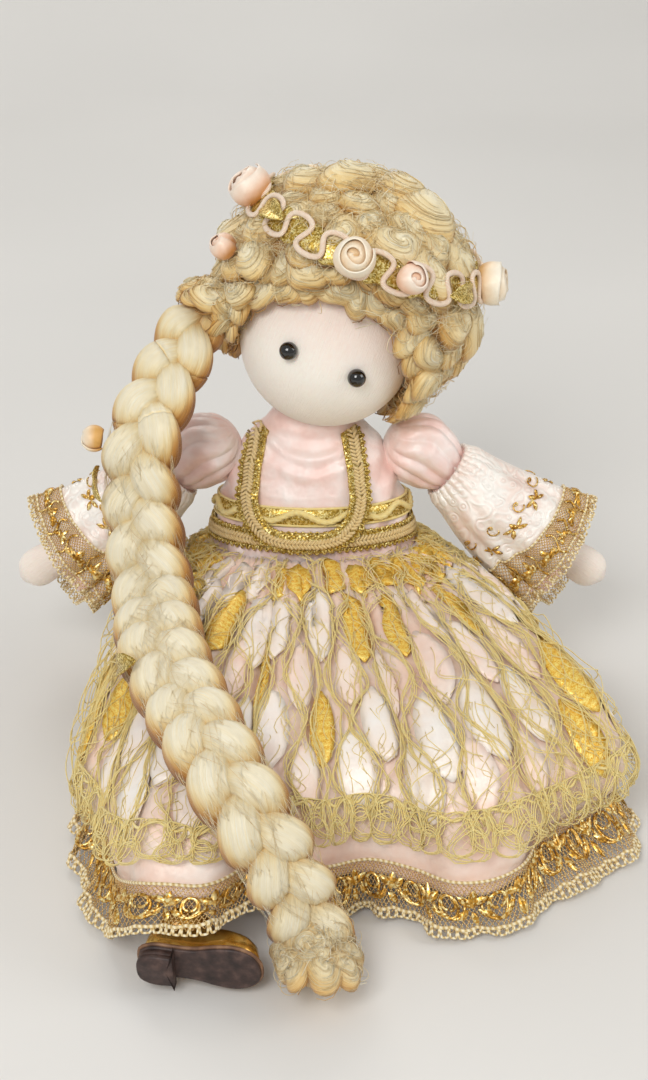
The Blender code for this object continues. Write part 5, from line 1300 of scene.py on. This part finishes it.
def make_chest_gimp():
    """U-shaped gimp: the line of its left half, and the same mirrored, laid on the front of the chest."""
    span, low, curve, count = 0.017, 0.060, 0.012, 241
    flat = [(-span * 0.86, 0.0932), (-span, 0.081), (-span, low + curve)]
    for turn in np.radians([210, 240]):
        flat.append((curve - span + curve * math.cos(turn), low + curve + curve * math.sin(turn)))
    flat += [(curve - span, low), (0.0, low)]
    flat += [(-x, z) for x, z in reversed(flat[:-1])]
    line = smooth_curve(flat, count) + np.array([-0.0025, 0.0])
    length = np.linalg.norm(np.diff(line, axis=0), axis=1).sum()
    tangent = unit_rows(np.gradient(line, axis=0))
    aside = np.stack([-tangent[:, 1], tangent[:, 0]], axis=1)

    def down_the_chest(along, across):
        """Points and normals on the U's line, lifted where it crosses the belts."""
        share = along / length * (count - 1)
        spot = [np.interp(share, np.arange(count), field) for field in (*line.T, *aside.T)]
        x, height = spot[0] + spot[2] * across, spot[1] + spot[3] * across
        points = chest_points(x, height)
        right, up = chest_points(x + 0.0002, height) - points, chest_points(x, height + 0.0002) - points
        normal = unit_rows(np.cross(right, up))
        over_belts = 1 - ramp(spot[1], 0.0727, 0.0787)
        return points + normal * (0.0019 * over_belts)[..., None], normal

    gilt, cord = Goods(), Goods()
    across = np.array([-0.5, -0.5, -0.45, 0.0, 0.45, 0.5, 0.5, 0.0])[None, :] * 0.0064
    along = np.linspace(0, length, 220)[:, None]
    points, normal = down_the_chest(along + 0 * across, across + 0 * along)
    gilt.add(points + normal * (BAND_RISE * 0.0009 + 0.0019)[None, :, None], ring=True, caps=True)
    braid_on(gilt, cord, down_the_chest, length, 0.0066, 0.0028)
    fit_trim("bodice_u_trim", "gilt_gimp", chest_gimp_band=(gilt, GILT), chest_gimp_braid=(cord, GIMP_CORD))


# Arms and sleeves

ARM_LENGTH, ARM_RADIUS, SLEEVE_HEAD = 0.082, 0.0092, 0.0122
ARM_TABLE = [(-0.105, 0.20), (-0.07, 0.74), (0.00, 1.00), (0.10, 0.88), (0.25, 0.78), (0.42, 0.72),
             (0.60, 0.66), (0.74, 0.57), (0.82, 0.66), (0.90, 0.77), (0.96, 0.64), (1.00, 0.20)]


def arm_frame(sign):
    """Shoulder, direction down the arm, and the two directions across it."""
    along = unit([sign * 0.058, -0.004, -0.043])
    up = unit(np.cross(along, [0, sign, 0]))
    return SHOULDERS[0 if sign < 0 else 1], along, up, np.cross(up, along) * sign


def bell_grid(sign, rows, columns, start=0.0, end=1.0, ruffle=0.0010):
    """Bell sleeve: ovals that widen as share to the 1.5, with folds that grow towards the mouth.

    The mouth is cut on the slant: in front and underneath the cloth is up to 0.48 shorter, hangs lower and
    stands out further.
    """
    shoulder, along, up, front = arm_frame(sign)
    angle = round_the_ring(columns)[None, :]
    share = np.linspace(start, end, rows)[:, None]
    slant = (0.5 - 0.5 * np.cos(angle - math.radians(45))) ** 1.5
    run = np.minimum(share, 0.8) * (1 - 0.48 * slant) + np.maximum(share - 0.8, 0)
    first = shoulder + along * 0.0125
    mouth = np.array([sign * 0.095, 0.015, 0.042])
    lean = ramp(run, 0.0, 1.0)[..., None]
    tall = unit_rows(up * (1 - lean) + np.array([0, 0, 1]) * lean)
    wide = np.maximum(run, 0) ** 1.5
    fold = share * (0.0010 * np.cos(5 * angle) + ruffle * np.cos(11 * angle + 1.1 * np.sin(3 * angle)))
    fold += 0.0005 * np.cos(26 * angle) * (1 - ramp(share, 0.0, 0.25)) - 0.0016 * (1 - ramp(share, 0.0, 0.10))
    hang = 0.0045 * slant * ramp(share, 0.0, 0.7)
    gape = 0.0062 * (0.5 + 0.5 * np.cos(angle + math.radians(110))) ** 1.5 * ramp(share, 0.0, 0.45)
    ovals = swung(0.0112 + 0.0133 * wide + fold, angle, tall, front, 0.0112 + 0.0078 * wide + fold)
    return first + (mouth - first) * run[..., None] + ovals - gape[..., None] * front \
        - hang[..., None] * np.array([0, 0, 1])


def sleeve_lace(sign, body, side):
    """Lace at a sleeve's mouth and gold sprigs on its bell.

    A motif is a middle petal with pairs turned to both sides, and the scrolls are sine or spiral lines.
    """
    lace = Cloth(bell_grid(sign, 40, 240, 0.80, 1.09, 0.0013))
    lace = Cloth(lace.grid + lace.normal * 0.0011)
    net, gold, edge = Goods(), Goods(), Goods()
    net_on(net, lace, 0.0, 0.86, 120, 0.09, 0.0, 0.00015, 12)
    for at in (0.0, 0.70):
        cords_on(edge, lace, at, share_row(240), 0.0002, 0.0004, sides=5)
    loops_on(edge, lace, 0.78, 0.0026, 64, 0.0002, 0.00033)
    count = 15
    spots = np.arange(count) / count
    for turn, out, long in ((0.0, 0.0, 0.0058), (1.1, 0.011, 0.0046), (-1.1, -0.011, 0.0046),
                            (2.3, 0.018, 0.0038), (-2.3, -0.018, 0.0038)):
        petals_on(gold, lace, 0.36 + abs(out) * 6, spots + out, long, 0.0022, 0.0004, turn)
    t = share_row(16)
    scroll = spots[:, None] + 0.5 / count + 0.011 * np.sin(TURN * t) * (1 - 0.3 * t)
    cords_on(gold, lace, 0.10 + 0.62 * t, scroll, 0.0004, 0.00045, 0.0003)
    cloth = Cloth(bell_grid(sign, 60, 200))
    cloth = Cloth(cloth.grid + cloth.normal * 0.0008)
    sprigs = np.arange(9) / 9 + 0.03
    for turn, out, down in ((0.0, 0.0, 0.0), (1.2, 0.020, 0.01), (-1.2, -0.020, 0.01), (2.4, 0.016, 0.055),
                            (-2.4, -0.016, 0.055)):
        at = 0.60 + down + 0.05 * np.cos(7 * sprigs * TURN)
        petals_on(gold, cloth, at, sprigs + out, 0.0040, 0.0017, 0.0001, turn + 0.3 * np.sin(20 * sprigs))
    curl = 0.040 * (1 - 0.6 * t)
    cords_on(gold, cloth, 0.52 + curl * np.sin(1.3 * TURN * t) - 0.06 * t,
             sprigs[:, None] + 0.055 + 0.55 * curl * np.cos(1.3 * TURN * t), 0.0003, 0.0003, 0.00022, 5)
    for name, goods, finish in (("net_", net, PALE_BRONZE), ("gold_", gold, BRIGHT_GOLD),
                                ("picot_", edge, CREAM_CORD)):
        fit(goods.make("sleeve_lace_" + name + side, finish), body, "bronze_net", "sleeve_lace_" + side)


def make_arms():
    """Stuffed arms with satin sleeve heads, pearly bell sleeves lined in satin, and lace at the mouth.

    A sleeve head is a ball that is open towards the bell, its radius times 1 + sin(polar) (0.15 pleat - 0.11)
    and less at the opening, where a pleat is |sin(5.5 angle and a little more)| to the 0.8.
    """
    for side, sign in (("right", -1), ("left", 1)):
        shoulder, along, up, front = arm_frame(sign)
        body = "arm_" + side
        share, girth = smooth_curve(ARM_TABLE, 60).T[..., None]
        thin = 1 - 0.25 * ramp(share, 0.74, 0.86)
        ovals = swung(ARM_RADIUS * girth, round_the_ring(40), up, front, ARM_RADIUS * girth * thin)
        limb = piece_of("stuffed_arm_" + side, KNIT, body, "knit", body,
                        (shoulder + share * ARM_LENGTH * along)[:, None] + ovals, 0.75, ring=True, caps=True)

        polar = np.radians(np.linspace(179.4, 52, 46))[:, None]
        angle = round_the_ring(160)[None, :]
        pleat = np.abs(np.sin(5.5 * angle + 1.5 * np.cos(polar * 2.2) + 0.5 * np.sin(3 * angle))) ** 0.8
        gather = 1 + np.sin(polar) * (0.15 * pleat - 0.11) + 0.03 * np.cos(23 * angle) * (1 - np.sin(polar)) \
            - 0.20 * ramp(-polar, math.radians(-66), math.radians(-52))
        down = SLEEVE_HEAD * np.cos(polar) + 0.006 * ramp(-polar, -1.3, -0.9) + 0 * angle
        rings = swung(SLEEVE_HEAD * np.sin(polar) * gather, angle, up, front)
        puff = piece_of("satin_sleeve_head_" + side, PINK_SATIN, body, "pink_satin", "puff_sleeve_" + side,
                        shoulder + down[..., None] * along + rings, 0.62, ring=True)
        declare(thicken(puff, 0.0008, -1.0))

        bell = piece_of("pearl_bell_sleeve_" + side, PEARL_CLOTH, body, "pearl_cloth", "bell_sleeve_" + side,
                        bell_grid(sign, 46, 170), ring=True)
        thicken(bell, 0.0006, 1.0)
        inner = Cloth(bell_grid(sign, 40, 150))
        lining = Goods()
        lining.add(inner.grid - inner.normal * 0.0007, 0.45, ring=True, out=-inner.normal)
        satin = thicken(lining.make("sleeve_lining_" + side, PINK_SATIN), 0.0005, 1.0)
        fit(satin, body, "pink_satin")
        sleeve_lace(sign, body, side)
        for piece in (bell, satin):
            declare(piece)


# Legs and shoes

HIP_RADIUS, THIGH_LENGTH, SHIN_LENGTH = 0.0115, 0.058, 0.065
SHOE_LENGTH, SHOE_HALF_WIDTH = 0.033, 0.00725
HEEL_BACK = SHOE_LENGTH * 0.30
SOLE_TABLE = np.array([(0.00, 0.30), (0.04, 0.58), (0.14, 0.74), (0.30, 0.72), (0.46, 0.74), (0.62, 0.92),
                       (0.78, 1.00), (0.90, 0.84), (0.97, 0.54), (1.00, 0.24)])


def leg_points(side):
    """Sign of the side, hip, knee and ankle."""
    sign, thigh, shin = {"right": (-1, 8, 9), "left": (1, 66, -32)}[side]
    thigh, shin = math.radians(thigh), math.radians(shin)
    hip = np.array([sign * HIP_ASIDE, -0.014, 0.0112])
    knee = hip + THIGH_LENGTH * np.array([sign * math.sin(thigh), -math.cos(thigh), 0])
    knee[2] = 0.009
    ankle = knee + SHIN_LENGTH * np.array([sign * math.sin(shin), -math.cos(shin), 0])
    ankle[2] = 0.011
    return sign, hip, knee, ankle


def sole_outline(length, half_width, back):
    """Closed outline of a sole: distances towards the toe and to the side of the ankle."""
    run, across = SOLE_TABLE[:, 0] * length - back, SOLE_TABLE[:, 1] * half_width
    both = np.concatenate([np.stack([run, across], axis=1), np.stack([run, -across], axis=1)[::-1]])
    return smooth_curve(both, 72, closed=True)


def make_leg(side):
    """Stuffed leg: a smooth run from hip to ankle with a rounded top, flat where it would pass the floor."""
    _, hip, knee, ankle = leg_points(side)
    bend = knee * 0.86 + (hip + ankle) * 0.07
    path = smooth_curve([hip, (hip + knee) / 2, bend, (knee + ankle) / 2, ankle], 44)
    way = unit_rows(np.gradient(path, axis=0))
    radius = np.interp(np.linspace(0, 1, 44), [0, 0.25, 0.45, 0.65, 0.85, 1.0],
                       [HIP_RADIUS, 0.0109, 0.0095, 0.0093, 0.00735, 0.007])
    polar = np.radians([172, 155, 138, 120, 105])
    path = np.concatenate([hip + way[0] * HIP_RADIUS * np.cos(polar)[:, None], path])
    limb = tubes(path, (0.0, 0.0, 1.0), np.concatenate([HIP_RADIUS * np.sin(polar), radius]), sides=36)[0]
    node = "leg_" + side
    leg = piece_of("stuffed_" + node, KNIT, node, "knit", node, above_floor(limb, 0.0), 0.7,
                   ring=True, caps=True)


def make_shoe(side):
    """Shoe lying on its side: vinyl upper, leather sole with a welt, and heel block."""
    sign, _, knee, ankle = leg_points(side)
    body = "leg_" + side
    level = unit((ankle - knee) * np.array([1, 1, 0]))
    down = unit(level * math.cos(math.radians(7)) - np.array([0, 0, math.sin(math.radians(7))]))
    toe = unit(np.cross([0, 0, -sign], level))
    across = np.cross(down, toe)
    collar = ankle + down * 0.0003

    def ring(flat, depth):
        """A closed outline at a depth below the collar."""
        return collar + down * depth + flat[:, :1] * toe + flat[:, 1:] * across

    levels = []
    for rise in np.linspace(0, 1, 15):
        length = np.interp(rise, [0, 0.16, 0.42, 0.64, 0.84, 1], [0.97, 1.0, 0.96, 0.84, 0.62, 0.5])
        width = np.interp(rise, [0, 0.16, 0.42, 0.64, 0.84, 1], [0.96, 1.04, 1.0, 0.9, 0.95, 1.0])
        flat = sole_outline(SHOE_LENGTH * length, SHOE_HALF_WIDTH * width, HEEL_BACK * length)
        angle = np.arctan2(flat[:, 1], flat[:, 0])
        round_collar = np.stack([np.cos(angle), np.sin(angle)], axis=1) * (0.0088 - 0.0008 * rise)
        close = float(ramp(rise, 0.5, 0.86))
        levels.append(ring(flat * (1 - close) + round_collar * close, 0.012 * (1 - rise)))
    piece_of("vinyl_shoe_upper_" + side, VINYL, body, "gold_vinyl", "shoe_upper_" + side, np.array(levels),
             ring=True, caps=True)

    edge = ((-0.0010, 0.0123), (-0.0001, 0.0123), (0.0, 0.0127), (0.0, 0.0137), (-0.0003, 0.0140),
            (-0.0020, 0.0141))
    levels = [ring(sole_outline(SHOE_LENGTH + 0.0016 + 2 * grow, SHOE_HALF_WIDTH + 0.0008 + grow,
                                HEEL_BACK + 0.0008 + grow), depth) for grow, depth in edge]
    piece_of("shoe_sole_" + side, LEATHER, body, "sole_leather", "shoe_sole_" + side, np.array(levels),
             ring=True, caps=True)
    line = ring(sole_outline(SHOE_LENGTH + 0.0020, SHOE_HALF_WIDTH + 0.0010, HEEL_BACK + 0.0010), 0.0127)
    piece_of("shoe_welt_" + side, WELT, body, "sole_leather", "shoe_sole_" + side,
             tubes(line, down, 0.00055, sides=8)[0], loop=True, ring=True)

    flat = sole_outline(SHOE_LENGTH + 0.0016, SHOE_HALF_WIDTH + 0.00045, HEEL_BACK + 0.0008)
    flat[:, 0] = np.minimum(flat[:, 0], 0.0095 - HEEL_BACK)
    stack = ((0.97, 0.0142), (1.0, 0.0144), (1.0, 0.0157), (0.985, 0.0158), (1.0, 0.0159), (1.0, 0.0170),
             (0.97, 0.0174))
    levels = [ring(flat * scale, depth) for scale, depth in stack]
    piece_of("shoe_heel_block_" + side, LEATHER, body, "sole_leather", "shoe_heel_" + side, np.array(levels),
             ring=True, caps=True)


# Skirt

HEM_TABLE = np.array([
    (0.00, 0.86), (0.42, 0.76), (0.60, 0.46), (0.72, 0.14), (0.82, -0.08), (0.94, -0.34),
    (0.96, -0.52), (0.66, -0.76), (0.40, -0.86), (0.12, -0.74), (-0.14, -0.86), (-0.40, -1.08),
    (-0.70, -0.84), (-0.80, -0.38), (-0.74, 0.00), (-0.66, 0.46), (-0.44, 0.76),
]) * 0.1
SECTION_TABLE = [(0.00, 1.00), (0.16, 1.01), (0.36, 0.96), (0.56, 0.87), (0.74, 0.73), (0.86, 0.54),
                 (0.905, 0.36), (0.94, 0.18), (1.00, 0.00)]
WAIST_HEIGHT = 0.053
OVERLAY_TOP, OVERLAY_REACH = 0.006, 0.899


def skirt_grid(rows, columns, start, end, folds=1.0):
    """Skirt from waist to hem: gathered at the waist, laid over the legs, flared at the hem.

    Each column runs from the waist ring to the hem ring along the section table. Folds of 10, 23 and
    72 to the round move the surface along its normal, the lap sags between the legs, and the sides
    are tucked in by 8.5 parts of a hundred above the hem.
    """
    hem = smooth_curve(HEM_TABLE, columns, closed=True)
    angle = np.arctan2(hem[:, 1], hem[:, 0])
    middle = spine(WAIST_HEIGHT)
    ring = torso_points(np.array(WAIST_HEIGHT / TORSO_HEIGHT), angle)
    waist = ring + unit_rows((ring - middle) * np.array([1, 1, 0])) * 0.0027
    waist[:, 2] -= SPINE_SLOPE * (waist[:, 1] - middle[1])
    hem = np.stack([hem[:, 0] + 0.006, hem[:, 1] - 0.042, 0 * angle], axis=1)
    hem[:, 2] = 0.0205 * np.exp(-((hem[:, 0] + 0.029) / 0.025) ** 4) * (hem[:, 1] < -0.042)
    section = smooth_curve(SECTION_TABLE, 241)
    share = np.linspace(start, end, rows)
    run = np.interp(share, np.linspace(0, 1, 241), section[:, 0])[:, None]
    rise = np.interp(share, np.linspace(0, 1, 241), section[:, 1])[:, None]
    grid = waist[None] + (hem - waist)[None] * run[..., None]
    grid[..., 2] = waist[None, :, 2] * rise + hem[None, :, 2] * (1 - rise)
    sag = np.exp(-((grid[..., 0] - 0.008) / 0.016) ** 2) * (grid[..., 1] < -0.014)
    grid[..., 2] -= 0.006 * sag * np.sin(math.pi * run) ** 2
    aside = grid[..., :2] - middle[:2]
    tuck = 0.085 * np.exp(-((rise - 0.20) / 0.17) ** 2) * ramp(np.abs(grid[..., 0] - 0.004), 0.046, 0.074)
    grid[..., :2] -= aside * tuck[..., None]
    column = round_the_ring(columns)
    share = share[:, None]
    broad = ramp(share, 0.05, 0.42) * (1 - ramp(share, 0.93, 1.0))
    middling = ramp(share, 0.03, 0.22) * (1 - 0.6 * ramp(share, 0.80, 1.0))
    gathered = 1 - ramp(share, 0.06, 0.34)
    fold = 0.0015 * broad * np.cos(10 * column + 0.8 * np.sin(3 * column))
    fold = fold + folds * 0.0010 * middling * np.cos(23 * column + 1.3 * np.sin(5 * column) + 2 * share)
    fold = fold + folds * 0.0007 * gathered * np.cos(72 * column + 2 * np.sin(3 * column))
    return grid + surface_normals(grid) * fold[..., None]


def make_overlay():
    """Net overlay: pairs of waved cords of three plies, leaf patches in their openings, and loose fibres.

    Cord k runs down at the share (k + 0.30 sin(2.6 turns) + small drift) / 54 round the skirt. Every other
    cord starts half a turn later, so that neighbours meet and part.
    """
    over = skirt_grid(120, 560, 0.0, 0.74)
    over = Cloth(over + surface_normals(over) * 0.0021)
    cords, fibres, golden, silky = Goods(), Goods(), Goods(), Goods()
    count, beat = 54, 2.6
    t = share_row(46)
    index = np.arange(count)[:, None]
    drift = draw(-0.18, 0.18, count)[:, None] * np.sin(math.pi * t * draw(1.0, 2.6, count)[:, None])
    along = OVERLAY_TOP + (OVERLAY_REACH + draw(-0.02, 0.03, count)[:, None]) * t
    for pair in (-1, 1):
        bend = np.sin(TURN * 2 * beat * t + 0.9 * index)
        wave = 0.30 * np.sin(TURN * (beat * t + 0.5 * (index % 2))) + drift + 0.10 * pair * bend + 0.04 * pair
        for ply in range(3):
            stray = rng.normal(0, 0.04, (count, 1)) \
                + 0.05 * np.sin(TURN * (draw(2, 5, (count, 1)) * t + draw(0, 1, (count, 1))))
            lift = 0.0010 + 0.0003 * pair * bend + 0.00028 * ply
            cords_on(cords, over, along, (index + wave + stray) / count, lift, 0.00019, 0.00017, 4)

    # Patches: gold leaves near the waist, satin ovals in two colours lower down
    spots = [(OVERLAY_TOP + OVERLAY_REACH * (k + 0.75 - 0.5 * (j % 2)) / beat, (j + 0.5) / count)
             for j in range(count) for k in range(3)]
    spots = np.array([spot for spot in spots if 0.03 < spot[0] < 0.88])
    at, around = (spots + rng.normal(0, 1, spots.shape) * np.array([0.012, 0.0024])).T
    low = ramp(at, 0.05, 0.42)
    pitch = np.interp(at, np.linspace(0, 1, 120), over.girths) / count
    wide = pitch * draw(1.22, 1.50, len(spots))
    long = (0.0150 + 0.0110 * low) * draw(0.85, 1.1, len(spots))
    lean = rng.normal(0, 0.06, len(spots))
    pick = draw(0, 1, len(spots))
    gold = pick < 0.66 - 0.44 * low
    white = ~gold & (pick > 0.52)
    for some, goods, slot, slim, dome in ((gold, golden, 0, 0.86, 0.0002), (white, silky, 0, 0.95, 0.0006),
                                          (~gold & ~white, silky, 1, 0.85, 0.0006)):
        petals_on(goods, over, at[some], around[some], long[some] * slim, wide[some] * slim, 0.0003,
                  lean[some], 0.55, slot, 0.55, dome)

    # Fibres: short ones over the net, and longer ones that stand off it at both sides
    count = 1700
    t = share_row(8)
    start, around = draw(0.03, 0.84, (count, 1)), draw(0, 1, (count, 1))
    wander = 0.004 * np.sin(math.pi * t * draw(0.6, 2.2, (count, 1)) + draw(0, TURN, (count, 1)))
    fall = draw(0.06, 0.16, (count, 1)) * t
    cords_on(fibres, over, start + fall, around + wander, 0.0012, 0.00013, sides=3)
    count = 90
    t = share_row(16)
    side = np.where(np.arange(count) % 2, draw(0.22, 0.42, count), draw(0.68, 0.86, count))[:, None]
    sway = draw(-0.03, 0.03, (count, 1)) * np.sin(math.pi * t * draw(0.7, 1.8, (count, 1)))
    fall = draw(0.15, 0.45, (count, 1)) * t
    off = 0.0012 + draw(0.001, 0.0055, (count, 1)) * np.sin(math.pi * t)
    cords_on(fibres, over, draw(0.35, 0.85, (count, 1)) + fall, side + sway, off, 0.00018, sides=4)
    pieces = (cords.make("overlay_cords", YELLOW_CORD), fibres.make("overlay_fibres", YELLOW_CORD),
              thicken(golden.make("overlay_gold_leaves", GOLD_LEAF), 0.0004, 1.0),
              thicken(silky.make("overlay_satin_ovals", WHITE_SATIN, OVAL_SATIN), 0.0004, 1.0))
    return [fit(piece, "torso", "gold_lace", "skirt_overlay") for piece in pieces]


def make_edging():
    """Ruffled edging of the overlay: a fine net, and rings of three plies in three rows.

    A ply goes 1.12 times round a circle on the cloth, its radius times 1 - 0.13 ply + 0.06 sin(3 angle).
    """
    trim = skirt_grid(40, 1100, 0.640, 0.775)
    column = round_the_ring(1100)[None, :]
    down = np.linspace(0, 1, 40)[:, None]
    swing = np.cos(82 * column + 2 * np.sin(9 * column)) * 0.5 + 0.5
    ruffle = 0.0026 + 0.0024 * ramp(down, 0.1, 0.75) * swing
    trim = Cloth(trim + surface_normals(trim) * ruffle[..., None])
    frill, loops = Goods(), Goods()
    net_on(frill, trim, 0.0, 0.72, 210, 0.020, 0.0003, 0.00009, 10)
    count = 62
    girth = trim.girths.mean()
    t = share_row(21)
    for at, shift, wide in ((0.16, 0.5, 0.0044), (0.40, 0.0, 0.0060), (0.62, 0.5, 0.0050)):
        size = wide * draw(0.78, 1.2, (count, 1))
        spot = at + rng.normal(0, 0.03, (count, 1))
        first = (np.arange(count)[:, None] + shift + rng.normal(0, 0.12, (count, 1))) / count
        for ply in range(3):
            angle = TURN * 1.12 * t + draw(0, TURN, (count, 1))
            radius = size * (1 - 0.13 * ply + 0.06 * np.sin(3 * angle + ply))
            cords_on(loops, trim, np.clip(spot + radius * np.sin(angle) / trim.reach, 0.01, 0.99),
                     first + radius * np.cos(angle) / girth, 0.0007 + 0.0003 * ply, 0.00022, 0.00018, 4)
    around = share_row(1300)
    wave = 0.0007 / trim.reach * np.sin(TURN * 70 * around)
    cords_on(loops, trim, 0.10 + wave, around, 0.0005, 0.0005, 0.0004, 6, ridges=3, ridge=0.15, twist=0.7)
    pieces = frill.make("edging_net", CREAM_FRILL), loops.make("edging_loops", YELLOW_CORD)
    return [fit(piece, "torso", "gold_lace", "overlay_edging") for piece in pieces]


def make_flounce():
    """Lace flounce at the hem: ruffled net, motifs of six petals and two swirls, scalloped picot edge.

    The ruffle grows down the lace as 2.2 mm cos(31 angle) + 0.8 mm cos(67 angle). A swirl is a spiral whose
    radius shrinks to 0.28 of itself, and the edge has 92 scallops |sin|.
    """
    lace = skirt_grid(40, 1200, 0.845, 1.0, 0.4)
    column = round_the_ring(1200)[None, :]
    down = np.linspace(0, 1, 40)[:, None]
    flare = surface_normals(lace) * np.array([1.0, 1.0, 0.55])
    swing = 0.0022 * np.cos(31 * column + 2.2 * np.sin(4 * column)) + 0.0008 * np.cos(67 * column)
    ruffle = 0.0026 + ramp(down, 0.0, 0.9) * swing
    lace = lace + flare * ruffle[..., None]
    lace[..., 2] = np.maximum(lace[..., 2] + 0.0010 * (1 - down), 0.0008)
    lace = Cloth(lace)
    net, gold, edge = Goods(), Goods(), Goods()
    net_on(net, lace, 0.0, 0.93, 430, 0.016, 0.0, 0.00016, 12)
    count = 46
    spots, step = np.arange(count) / count, 1 / count
    for out, at, turn, long, wide in ((0.0, 0.34, 0.0, 0.0058, 0.0026), (0.16, 0.38, 1.0, 0.0052, 0.0023),
                                      (-0.16, 0.38, -1.0, 0.0052, 0.0023), (0.24, 0.60, 2.2, 0.0044, 0.0021),
                                      (-0.24, 0.60, -2.2, 0.0044, 0.0021), (0.0, 0.68, 0.3, 0.0042, 0.0024)):
        petals_on(gold, lace, at + rng.normal(0, 0.012, count), spots + out * step, long, wide, 0.0004,
                  turn + rng.normal(0, 0.15, count))
    t = share_row(30)
    swirl = 1.25 * TURN * t
    radius = 0.30 * (1 - 0.72 * t)
    for sign in (-1, 1):
        around = spots[:, None] + step * (0.5 + sign * 0.02 + sign * radius * np.cos(swirl))
        cords_on(gold, lace, 0.45 + radius * np.sin(swirl), around, 0.0005, 0.0005, 0.00035, 6)
    around = share_row(1500)
    scallop = 0.035 * np.abs(np.sin(math.pi * 92 * around))
    cords_on(edge, lace, 0.845 + scallop, around, 0.0003, 0.00055, 0.00045, 6)
    cords_on(edge, lace, 0.0, around, 0.0003, 0.0005, sides=5)
    loops_on(edge, lace, 0.865, 0.0026, 276, 0.0003, 0.00038)
    pieces = (net.make("flounce_net", PALE_BRONZE), gold.make("flounce_gold_motifs", BRIGHT_GOLD),
              edge.make("flounce_picot_edge", CREAM_CORD))
    return [fit(piece, "torso", "bronze_net", "hem_flounce") for piece in pieces]


def make_skirt():
    """Satin skirt, and the overlay, edging and flounce that belong to its sheet."""
    grid = skirt_grid(88, 400, 0.0, 0.89)
    grid = grid + surface_normals(grid) * 0.0007
    skirt = piece_of("satin_skirt", PALE_SATIN, "torso", "pink_satin", "skirt", grid, ring=True)
    thicken(skirt, 0.0008)
    pieces = make_overlay() + make_edging() + make_flounce()
    declare(skirt)


make_bodice()
make_chest_gimp()
make_arms()
for which in ("right", "left"):
    make_leg(which)
    make_shoe(which)
make_skirt()
